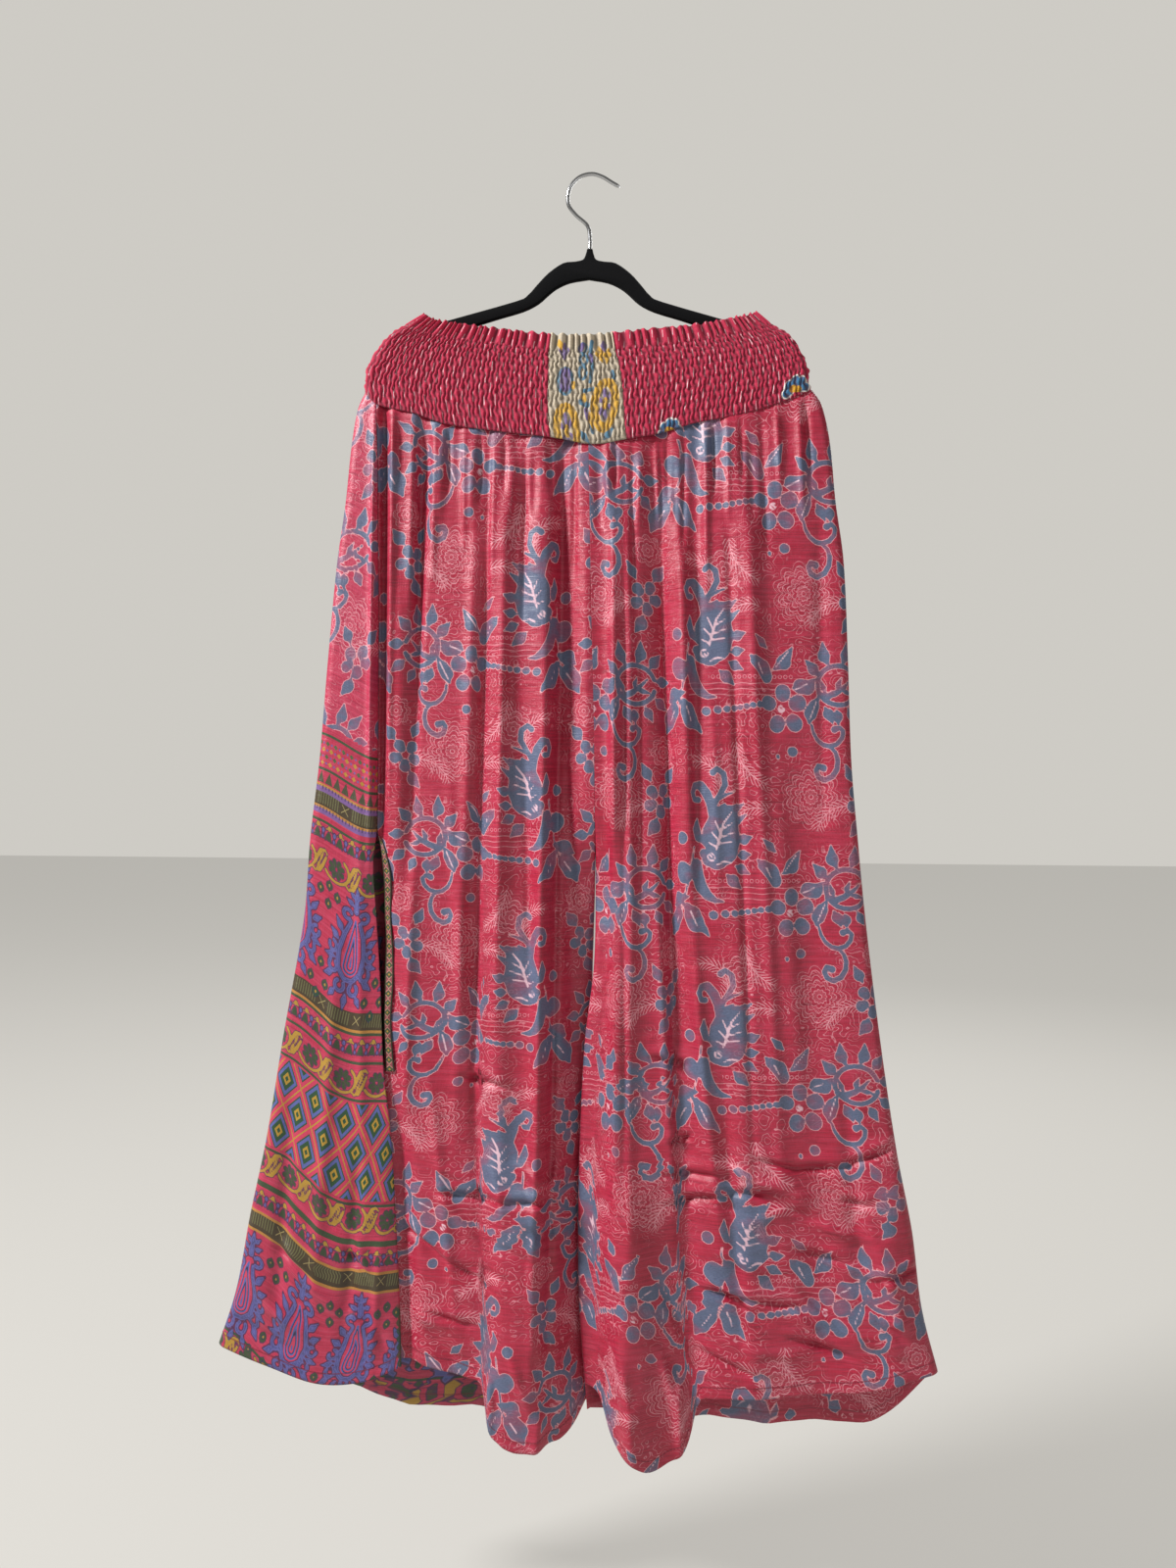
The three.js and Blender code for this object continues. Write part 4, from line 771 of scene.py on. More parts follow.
def band_point(face, across, down):
    a, d = across[..., None], down[..., None]
    left = np.stack([fold_left_x(down), fold_left_z(down)], -1)
    right = np.stack([fold_right_x(down), fold_right_z(down)], -1)
    place = lerp(band_edge(across, False), band_edge(across, True), d)
    zero, one = np.zeros_like(across), np.ones_like(across)
    left_corners = lerp(band_edge(zero, False), band_edge(zero, True), d)
    right_corners = lerp(band_edge(one, False), band_edge(one, True), d)
    place = place + (left - left_corners) * (1 - a) + (right - right_corners) * a
    to_fold = np.minimum(np.linalg.norm(place - left, axis=-1), np.linalg.norm(place - right, axis=-1))
    depth = belly_depth(to_fold, SEAM_LEVEL) * round_edge(to_fold, SIDE_ROUND)
    return np.stack([place[..., 0], face * (HALF_SEAM + depth), place[..., 1]], -1)


def rib_height(ribs, share, down, seed):
    """Height of the ribs over the band: smocked under the first elastic row, wide flutes above it"""
    rib = ribs * share
    wander = 0.20 * np.sin(41 * down + 1.7 * rib + seed) + 0.12 * np.sin(83 * down - 0.9 * rib + 2 * seed)
    fine = 0.5 - 0.5 * np.cos(2 * math.pi * (rib + wander))
    flute = 0.5 - 0.5 * np.cos(2 * math.pi * (rib / FLUTE_RIBS + 0.25 * np.sin(0.8 * rib + seed)))
    row = (down - HEADING_SHARE) / (LAST_ROW - HEADING_SHARE) * (ELASTIC_ROWS - 1)
    near_row = np.abs(row - np.round(row))
    pinch = lerp(0.66, 1.0, smooth(near_row, 0.02, 0.42))
    uneven = 0.85 + 0.25 * np.sin(2.3 * rib + 1.3 * np.round(row) + seed) * np.sin(0.37 * rib + seed)
    smocked = RIB_HEIGHT * fine**0.8 * pinch * uneven
    headed = 1.25 * RIB_HEIGHT * flute * lerp(0.75, 1.2, smooth(-down, -HEADING_SHARE, 0))
    height = lerp(headed, smocked, smooth(down, HEADING_SHARE - 0.05, HEADING_SHARE))
    return height * lerp(1, 0.45, smooth(down, 0.965, 1))


def band_piece(name, face, ribs, start, end, columns, rows, node, slot, seed, fields):
    share, down = np.meshgrid(np.linspace(0, 1, ribs * columns + 1), np.linspace(0, 1, rows))
    across = lerp(lerp(start[0], start[1], down), lerp(end[0], end[1], down), share)
    points = band_point(face, across, down)
    before, after = (band_point(face, np.clip(across + step, 0, 1), down) for step in (-NEARBY, NEARBY))
    over, under = (band_point(face, across, np.clip(down + step, 0, 1))
                   for step in (-NEARBY_DOWN, NEARBY_DOWN))
    along_row, along_column = after - before, under - over
    outs = np.cross(along_column, along_row)
    outs /= np.linalg.norm(outs, axis=-1, keepdims=True)
    outs *= np.where(outs[..., 1:2] * face < 0, -1, 1)
    for column in (0, -1):
        if across[0, column] in (0, 1):
            outs[:, column] = (2 * across[0, column] - 1, 0, 0)
            points[:, column, 1] = 0
    ribbed = rib_height(ribs, share, down, seed)
    lifted = points + outs * ribbed[..., None]
    lifted[-1, :, 2] = seam_height(lifted[-1, :, 0])
    lifted[0, :, 2] += 0.8 * np.sin(ribs * share[0] * 2.2 + seed)
    flat = np.stack([across * BAND_WIDTH, down * BAND_DEEP], -1)
    stored = {"rib_top": ribbed / RIB_HEIGHT, **fields(flat[..., 0], flat[..., 1])}
    return cloth_shell(name, lifted, outs, flat, stored, node, BAND_CLOTH)


# %% [markdown]
# The patch is a scrap of another sari: cream cotton with stretched flowers, each a ring of ochre
# round a purple middle. Its few shapes are charted in the band's own millimetres.

# %% Flowers of the patch and the four pieces of the band
def patch_fields(u, v):
    ochre, purple, teal = [], [], []
    for middle_u, middle_v in ((201, 96), (236, 73)):
        ochre += ring(middle_u, middle_v, 9.6, 18.5, 3.4,
                      steps=16) + [(middle_u, middle_v - 3, 2.0, middle_u, middle_v + 3, 2.0)]
        for angle in range(18, 378, 60):
            du, dv = 5.6 * math.cos(math.radians(angle)), 11.5 * math.sin(math.radians(angle))
            purple.append((middle_u + 0.45 * du, middle_v + 0.45 * dv, 1.2, middle_u + du, middle_v + dv,
                           1.9))
    ochre += [*leaf(190, 8, 194, 22, 3.0), *leaf(228, 16, 232, 36, 4.2), *leaf(238, 20, 236, 38, 3.6),
              (216, 66, 1.8, 217, 70, 1.8), *leaf(222, 80, 226, 92, 2.2), (206, 56, 1.6, 206, 60, 1.6)]
    purple += [*leaf(196, 12, 197, 34, 5.0), (198.5, 47, 4.2, 198.5, 60, 4.6),
               *leaf(233, 10, 234, 24, 3.0), (222, 26, 1.6, 222, 34, 1.6), (213, 14, 2.4, 212, 20, 2.4),
               (219, 78, 1.8, 221, 84, 1.8)]
    teal += [*ring(198.5, 55, 6.6, 12, 1.3), *ring(214, 18, 3.4, 6, 1.2), *ring(215, 32, 3.4, 6, 1.2),
             *ring(214, 46, 3.4, 6, 1.2),
             *stem((222, 10, 1.6), (221, 24, 1.8), (223, 40, 1.6), (221, 54, 1.4)),
             (214, 72, 2.4, 220, 74, 2.4), (216, 62, 1.6, 224, 60, 1.6), *leaf(214, 94, 222, 103, 3.0),
             *leaf(236, 100, 246, 92, 3.2), (224, 88, 1.6, 226, 94, 1.6), (241, 46, 1.6, 243, 52, 1.6)]
    return {"patch_ochre": printed_distance(u, v, ochre), "patch_purple": printed_distance(u, v, purple),
            "patch_teal": printed_distance(u, v, teal)}


def scrap_fields(u, v):
    """Half flowers of another print, caught in the seam under the band"""
    blue, ochre = [], []
    for middle_u, middle_v, reach in ((299, 104, 9), (421, 97, 11)):
        blue += petals(middle_u, middle_v, 5, -180, 0.5 * reach, 0.8 * reach, 0.2 * reach, 0.34 * reach,
                       225)
        ochre.append((middle_u - 0.2 * reach, middle_v - 0.2 * reach, 0.3 * reach, middle_u + 0.3 * reach,
                      middle_v, 0.25 * reach))
    return {"scrap_blue": printed_distance(u, v, blue), "scrap_ochre": printed_distance(u, v, ochre)}


BAND_PIECES = [  # name, face, ribs, start, end, columns to a rib, rows, solid, slot, seed, print
    ("band_front_left", -1, 39, (0, 0), PATCH_LEFT, 7, 74, "waistband_front_left", "waistband_cotton",
     0.3, scrap_fields), ("band_patch", -1, 15, PATCH_LEFT, PATCH_RIGHT, 7, 74, "waistband_patch",
                          "waistband_patch_cotton", 1.1, patch_fields),
    ("band_front_right", -1, 38, PATCH_RIGHT, (1, 1), 7, 74, "waistband_front_right", "waistband_cotton",
     2.0, scrap_fields), ("band_back", 1, 92, (1, 1), (0, 0), 5, 62, "waistband_back", "waistband_cotton",
                          4.0, scrap_fields),
]
band_left, band_patch, band_right, band_back = (band_piece(*row) for row in BAND_PIECES)

# %% [markdown]
# The hanger is a thin plastic arch flocked with black velvet. It is drawn as a smooth flat outline,
# half of it mirrored, and given a rounded edge all round.

# %% Hanger's body
HANGER_TILT, HANGER_THICK, HANGER_EDGE, WIRE_RADIUS = math.radians(0.95), 5.5, 2.2, 1.75


def smooth_line(places, steps):
    """A smooth line through the places, with so many steps from each to the next"""
    places = np.array(places, float)
    ends = np.concatenate([2 * places[:1] - places[1:2], places, 2 * places[-1:] - places[-2:-1]])
    t = np.linspace(0, 1, steps, endpoint=False)[:, None]
    out = []
    for a, b, c, d in zip(ends[:-3], ends[1:-2], ends[2:-1], ends[3:]):
        out.append(b + 0.5 * t * (c - a + t * (2 * a - 5 * b + 4 * c - d + t * (3 * (b - c) + d - a))))
    return np.concatenate([*out, places[-1:]])


def tilted(x, y, z):
    across, down = math.cos(HANGER_TILT), math.sin(HANGER_TILT)
    return (x * across + z * down, y, -x * down + z * across)


def make_hanger_body():
    half = smooth_line([*ARM_TOP, *ARM_UNDER], 3)
    outline = np.concatenate([half, half[-2::-1] * (-1, 1)])
    nearby = np.roll(outline, -1, 0) - np.roll(outline, 1, 0)
    inward = np.stack([nearby[:, 1], -nearby[:, 0]], -1) / np.linalg.norm(nearby, axis=1, keepdims=True)
    angles = np.linspace(0, math.pi, 9)
    levels = [(HANGER_EDGE * (1 - math.sin(a)), HANGER_THICK / 2 * math.cos(a)) for a in angles]
    vertices, faces, count = [], [], len(outline)
    for inset, y in levels:
        vertices += [tilted(x, -y, z) for x, z in outline + inward * inset]
    for level in range(len(levels) - 1):
        for i in range(count):
            a, b = level * count + i, level * count + (i + 1) % count
            faces.append((a, a + count, b + count, b))
    faces += [tuple(range(count)), tuple(reversed(range((len(levels) - 1) * count, len(levels) * count)))]
    mesh = bpy.data.meshes.new("hanger_body_flocked")
    mesh.from_pydata([tuple(c * MM for c in vertex) for vertex in vertices], [], faces)
    mesh.polygons.foreach_set("use_smooth", np.ones(len(mesh.polygons), bool))
    piece = bpy.data.objects.new("hanger_body_flocked", mesh)
    bpy.context.scene.collection.objects.link(piece)
    declare(piece, "hanger_body")
    print(piece.name, len(vertices), "points")
    return piece


hanger_body = make_hanger_body()

# %% [markdown]
# Each finish is a tree of shader nodes made by a few short helpers. One turns an sRGB colour into
# the linear values that Blender works in, one adds a node with its settings and links, and the
# rest are small formulas: under an edge, near a value, all of several shares, the most of them.
# The cloth's materials read the flat cloth coordinates from the UV map, in millimetres, so every
# pattern size below is a real size.

# %% Helpers for shader nodes
def linear(text):
    channels = [int(text[i : i + 2], 16) / 255 for i in (0, 2, 4)]
    return (*[c / 12.92 if c <= 0.04045 else ((c + 0.055) / 1.055) ** 2.4 for c in channels], 1.0)


def add(tree, kind, *values, **named):
    """Add a node, with its operation or data type after a space in kind, and give its first output. The
    inputs are linked or set in order, then by name, and a name in small letters is a setting"""
    kind, _, choice = kind.partition(" ")
    node = tree.nodes.new(kind if "Node" in kind else "ShaderNode" + kind)
    if choice:
        setattr(node, "operation" if hasattr(node, "operation") else "data_type", choice)
    for name in filter(str.islower, named):
        setattr(node, name, named[name])
    shown = [socket for socket in node.inputs if socket.enabled]
    by_name = [(node.inputs[name], value) for name, value in named.items() if not name.islower()]
    for socket, value in [*zip(shown, values), *by_name]:
        if isinstance(value, bpy.types.NodeSocket):
            tree.links.new(value, socket)
        elif value is not None:
            socket.default_value = value
    return next((socket for socket in node.outputs if socket.enabled), None)


def below(tree, value, edge, soft=0.25):
    """1 where the value is under the edge, 0 over it, with a soft step"""
    return add(tree, "MapRange", value, edge + soft, edge - soft, 0.0, 1.0)


def near(tree, value, middle, half, soft=0.2):
    """1 within half of the middle, 0 beyond it, with a soft step"""
    return below(tree, add(tree, "Math ABSOLUTE", add(tree, "Math SUBTRACT", value, middle)), half, soft)


def every(tree, *shares):
    """The product of the shares, 1 only where all of them are"""
    out = shares[0]
    for share in shares[1:]:
        out = add(tree, "Math MULTIPLY", out, share)
    return out


def most(tree, *shares):
    """The greatest of the shares"""
    out = shares[0]
    for share in shares[1:]:
        out = add(tree, "Math MAXIMUM", out, share)
    return out


def lay(tree, colour, *coats):
    """Lay each coat's shade over the colour, by the product of its shares"""
    for shade, *shares in coats:
        colour = add(tree, "Mix RGBA", every(tree, *shares), colour, shade)
    return colour


def outside(tree, share):
    """What the share leaves over"""
    return add(tree, "Math SUBTRACT", 1.0, share)


def flat_cloth(tree):
    """The place on the flat cloth, across and down, in millimetres"""
    parts = add(tree, "SeparateXYZ", add(tree, "UVMap", uv_map="flat_cloth")).node
    return parts.outputs[0], parts.outputs[1]


def grain(tree, u, v, long_u, long_v, detail=2.0, rough=0.55):
    """Noise whose specks are long_u by long_v millimetres"""
    place = add(tree, "CombineXYZ", add(tree, "Math DIVIDE", u, long_u),
                add(tree, "Math DIVIDE", v, long_v))
    return add(tree, "TexNoise", place, 1.0, detail, rough, noise_dimensions="2D")


def polar(tree, u, v, middle_u, middle_v):
    """Distance and angle from the nearest repeat of a place in the flat cloth"""
    du = add(tree, "Math WRAP", add(tree, "Math SUBTRACT", u, middle_u), REPEAT_WIDTH / 2,
             -REPEAT_WIDTH / 2)
    dv = add(tree, "Math WRAP", add(tree, "Math SUBTRACT", v, middle_v), REPEAT_HEIGHT / 2,
             -REPEAT_HEIGHT / 2)
    square = add(tree, "Math ADD", add(tree, "Math MULTIPLY", du, du), add(tree, "Math MULTIPLY", dv, dv))
    return add(tree, "Math SQRT", square), add(tree, "Math ARCTAN2", dv, du)


def new_finish(name):
    material = bpy.data.materials.new(name)
    material.use_nodes = True
    tree = material.node_tree
    return material, tree, tree.nodes["Principled BSDF"]


def relief(tree, surface, height, distance, strength=1.0):
    bump = add(tree, "Bump", Height=height, Distance=distance, Strength=strength)
    tree.links.new(bump, surface.inputs["Normal"])


# %% [markdown]
# The legs are old sari silk: a crimson ground with slubs, thick places in the cross yarns that
# take the dye darker or lighter. Over it lie slate-blue flowers with a pale outline, and a web of
# thin pale lines: scalloped blooms, fern sprigs, waving lines and doodles between the flowers.

# %% Slubbed silk ground and the body print
def silk_ground(tree, u, v, mid, pale, deep):
    """Uneven dye: dark slubs, and streaks, yarns and worn places that are paler than the rest"""
    slub = grain(tree, u, v, 26.0, 0.9, 3.0, 0.6)
    streak = grain(tree, u, v, 90.0, 2.6, 2.0)
    yarn = grain(tree, u, v, 0.9, 12.0)
    worn = grain(tree, u, v, 60.0, 60.0, 3.0)
    colour = add(tree, "Mix RGBA", below(tree, slub, 0.43, 0.14), mid, deep)
    colour = lay(tree, colour, (pale, outside(tree, below(tree, streak, 0.56, 0.1)), 0.38),
                 (pale, outside(tree, below(tree, yarn, 0.56, 0.08)), 0.16),
                 (pale, outside(tree, below(tree, worn, 0.5, 0.2)), 0.25))
    return colour, slub, yarn


def pale_lines(tree, u, v):
    """Thin pale drawing between the flowers, in the body print's own repeat"""
    local_u = add(tree, "Math WRAP", u, REPEAT_WIDTH / 2, -REPEAT_WIDTH / 2)
    local_v = add(tree, "Math WRAP", v, REPEAT_HEIGHT / 2, -REPEAT_HEIGHT / 2)
    lines = []
    for middle_u, middle_v, scallops, widest, spacing in ((26, 80, 5.5, 30, 4.6), (-52, 58, 3.5, 20, 5.0),
                                                          (84, 40, 4.0, 15, 4.2)):
        out, angle = polar(tree, local_u, local_v, middle_u, middle_v)
        lobe = add(tree, "Math ABSOLUTE",
                   add(tree, "Math COSINE", add(tree, "Math MULTIPLY", angle, scallops)))
        scaled = add(tree, "Math DIVIDE", out, add(tree, "Math MULTIPLY_ADD", lobe, 0.2, 0.8))
        band = add(tree, "Math FRACT", add(tree, "Math DIVIDE", scaled, spacing))
        lines.append(every(tree, near(tree, band, 0.5, 0.085, 0.06), below(tree, scaled, widest, 0.5)))
        spoke = add(tree, "Math FRACT",
                    add(tree, "Math MULTIPLY_ADD", angle, 6.4, add(tree, "Math MULTIPLY", scaled, 0.35)))
        petal = near(tree, add(tree, "Math FRACT", add(tree, "Math DIVIDE", scaled, 2 * spacing)), 0.6,
                     0.24, 0.05)
        lines.append(every(tree, near(tree, spoke, 0.5, 0.13, 0.08), petal,
                           below(tree, scaled, widest, 0.5), 0.6))
    for middle_u, middle_v, radius, middle_angle, half in ((-6, 30, 40, 2.6, 0.75),
                                                           (-86, 70, 22, -0.6, 1.2),
                                                           (60, 118, 30, -2.0, 0.9),
                                                           (-30, -70, 26, -2.2, 1.1)):
        out, angle = polar(tree, local_u, local_v, middle_u, middle_v)
        aside = add(tree, "Math ABSOLUTE", add(tree, "Math SUBTRACT", out, radius))
        along = add(tree, "Math MULTIPLY", angle, radius)
        leaflet = add(tree, "Math FRACT",
                      add(tree, "Math DIVIDE", add(tree, "Math MULTIPLY_ADD", aside, 1.3, along), 4.4))
        fern = most(tree, near(tree, leaflet, 0.5, 0.13, 0.06), below(tree, aside, 0.5))
        lines.append(every(tree, fern, below(tree, aside, 6.5),
                           near(tree, angle, middle_angle, half, 0.05)))
    wave = add(tree, "Math MULTIPLY_ADD", add(tree, "Math SINE", add(tree, "Math DIVIDE", local_u, 3.6)),
               0.45, local_v)
    tiers = near(tree, add(tree, "Math FRACT", add(tree, "Math DIVIDE", wave, 5.2)), 0.5, 0.08, 0.05)
    lines.append(every(tree, tiers, near(tree, local_v, -18.2, 7.6), near(tree, local_u, -40, 54), 0.7))
    loop_u = add(tree, "Math WRAP", local_u, 2.6, -2.6)
    loop, _ = polar(tree, loop_u, local_v, 0.0, -29.5)
    lines.append(every(tree, near(tree, loop, 1.6, 0.22), near(tree, local_u, -30, 42)))
    doodle = add(tree, "Math FRACT", add(tree, "Math MULTIPLY", grain(tree, u, v, 14.0, 11.0, 0.6), 6.0))
    patch = outside(tree, below(tree, grain(tree, u, v, 60.0, 45.0, 2.0), 0.5, 0.08))
    lines.append(every(tree, near(tree, doodle, 0.5, 0.06, 0.04), patch, 0.8))
    worn = add(tree, "Math MULTIPLY_ADD", grain(tree, u, v, 5.0, 2.0), 1.2, 0.05)
    return every(tree, most(tree, *lines), worn)


def body_print(tree, colour, u, v):
    distance, pale = (add(tree, "Attribute", attribute_name=name).node.outputs["Fac"]
                      for name in ("body_motif", "body_pale"))
    rough_edge = add(tree, "Math MULTIPLY_ADD", grain(tree, u, v, 4.0, 0.8), 1.1, -0.55)
    distance = add(tree, "Math ADD", distance, rough_edge)
    colour = lay(tree, colour, (linear("E6A3AE"), pale_lines(tree, u, v)))
    outline = every(tree, below(tree, distance, 0.8, 0.2), outside(tree, below(tree, distance, 0.2, 0.2)),
                    0.75)
    colour = lay(tree, colour, (linear("E9B3B9"), outline))
    blue = add(tree, "Mix RGBA", grain(tree, u, v, 3.0, 0.8), linear("3C4E68"), linear("60728E"))
    faded = add(tree, "Math MULTIPLY_ADD",
                outside(tree, below(tree, grain(tree, u, v, 46.0, 30.0, 3.0), 0.56, 0.1)), -0.42, 0.95)
    colour = lay(tree, colour, (blue, below(tree, distance, 0.25, 0.25), faded))
    return add(tree, "Mix RGBA", every(tree, below(tree, pale, 0.35, 0.3), 0.85), colour,
               linear("E2BAC6"))


def silk_surface(tree, surface, colour, slub, yarn):
    """Worn silk: a soft gloss that shows each fold, a little sheen at its edges, slubs and small crumples"""
    surface.inputs["Roughness"].default_value = 0.46
    surface.inputs["Sheen Weight"].default_value = 0.1
    surface.inputs["Sheen Roughness"].default_value = 0.35
    to_hem = add(tree, "Attribute", attribute_name="to_hem").node.outputs["Fac"]
    stitch = near(tree, to_hem, HEM_TURN, 0.7, 0.3)
    tree.links.new(add(tree, "Mix RGBA", every(tree, stitch, 0.5), colour, linear("6A1024")),
                   surface.inputs["Base Color"])
    u, v = flat_cloth(tree)
    crumple = add(tree, "Math MULTIPLY", grain(tree, add(tree, "Math MULTIPLY_ADD", v, 0.5, u), v, 30.0,
                                               17.0, 3.0, 0.5), 9.0)
    height = add(tree, "Math ADD", add(tree, "Math MULTIPLY_ADD", slub, 1.6, yarn), crumple)
    relief(tree, surface, height, 0.00022, 0.75)


def make_printed_silk():
    """Clear crimson with slubs, for the cloth that shows the body print only"""
    material, tree, surface = new_finish("printed sari silk")
    u, v = flat_cloth(tree)
    colour, slub, yarn = silk_ground(tree, u, v, linear("AA1434"), linear("BC3A56"), linear("7C0E28"))
    silk_surface(tree, surface, body_print(tree, colour, u, v), slub, yarn)
    return material


# %% [markdown]
# The border of the sari is a stack of printed bands. A colour ramp along the cloth gives the plain
# lines, dark bands and chains, and small formulas give the triangles, dots and nested diamonds.
# The vines, paisleys and buds come from the distances charted above, each with a dark outline.

# %% Border print
BORDER_LENGTH = 620.0
LATTICE_MIDDLE, LATTICE_U, LATTICE_V = 344, 16.5, 24.5
CLEAR = (0, 0, 0, 0)
GREEN, DARK, OCHRE = linear("25472B"), linear("33351F"), linear("A8842C")
BLUE, NAVY, PINK = linear("525A96"), linear("27264A"), linear("BC3454")
LINES = [(0, 1.8, GREEN), (31, 32.6, GREEN), (52.6, 64, DARK), (77, 79, GREEN), (97, 98.8, GREEN),
         (225, 239, DARK), (241.6, 243.4, GREEN), (266, 267.8, GREEN), (297.6, 299.6, GREEN),
         (385.6, 387.6, GREEN), (417, 419.4, GREEN), (421, 422, GREEN), (446.5, 461, DARK),
         (558, 560.5, GREEN), (587, 592, GREEN)]
TRIMS = [(46, 47, OCHRE), (47, 51, BLUE), (51, 52.6, OCHRE), (64, 65.4, OCHRE), (65.4, 70.5, BLUE),
         (70.5, 72, OCHRE), (223.4, 225, OCHRE), (239, 240.4, OCHRE), (445, 446.5, OCHRE),
         (461, 462.6, OCHRE)]
NESTED = [(0, GREEN), (0.12, OCHRE), (0.26, GREEN), (0.48, BLUE), (0.66, GREEN), (0.74, PINK),
          (0.95, OCHRE), (1.03, PINK), (1.26, GREEN), (1.34, BLUE), (1.52, GREEN), (1.74, OCHRE),
          (1.88, GREEN)]


def band_ramp(tree, v, bands):
    """Colour of the plain bands at v, and how much of it shows"""
    ramp = add(tree, "ValToRGB", add(tree, "Math DIVIDE", v, BORDER_LENGTH)).node
    ramp.color_ramp.interpolation = "CONSTANT"
    marks = ramp.color_ramp.elements
    marks[0].position, marks[0].color = 0.0, CLEAR
    marks.remove(marks[1])
    for start, end, colour in bands:
        mark = marks[0] if start == 0 else marks.new(start / BORDER_LENGTH)
        mark.color = colour
        if not any(s == end for s, _, _ in bands):
            marks.new(end / BORDER_LENGTH).color = CLEAR
    return ramp.outputs[0], every(tree, ramp.outputs[1], outside(tree, below(tree, v, 0.0, 0.1)))


def nested_diamonds(tree, colour, u, v):
    """Diamonds one inside another, set in a lattice; reach is 0 at a middle and 2 at the lattice's corners"""
    down = add(tree, "Math SUBTRACT", v, LATTICE_MIDDLE)
    cell_u, cell_v = (add(tree, "Math DIVIDE",
                          add(tree, "Math ABSOLUTE", add(tree, "Math WRAP", at, half, -half)), half)
                      for at, half in ((u, LATTICE_U), (down, LATTICE_V)))
    reach = add(tree, "Math ADD", cell_u, cell_v)
    ramp = add(tree, "ValToRGB", add(tree, "Math DIVIDE", reach, 2.0)).node
    ramp.color_ramp.interpolation = "CONSTANT"
    marks = ramp.color_ramp.elements
    marks.remove(marks[1])
    for start, shade in NESTED:
        mark = marks[0] if start == 0 else marks.new(start / 2)
        mark.position, mark.color = start / 2, shade
    return add(tree, "Mix RGBA", near(tree, v, 343.5, 41.5), colour, ramp.outputs[0])


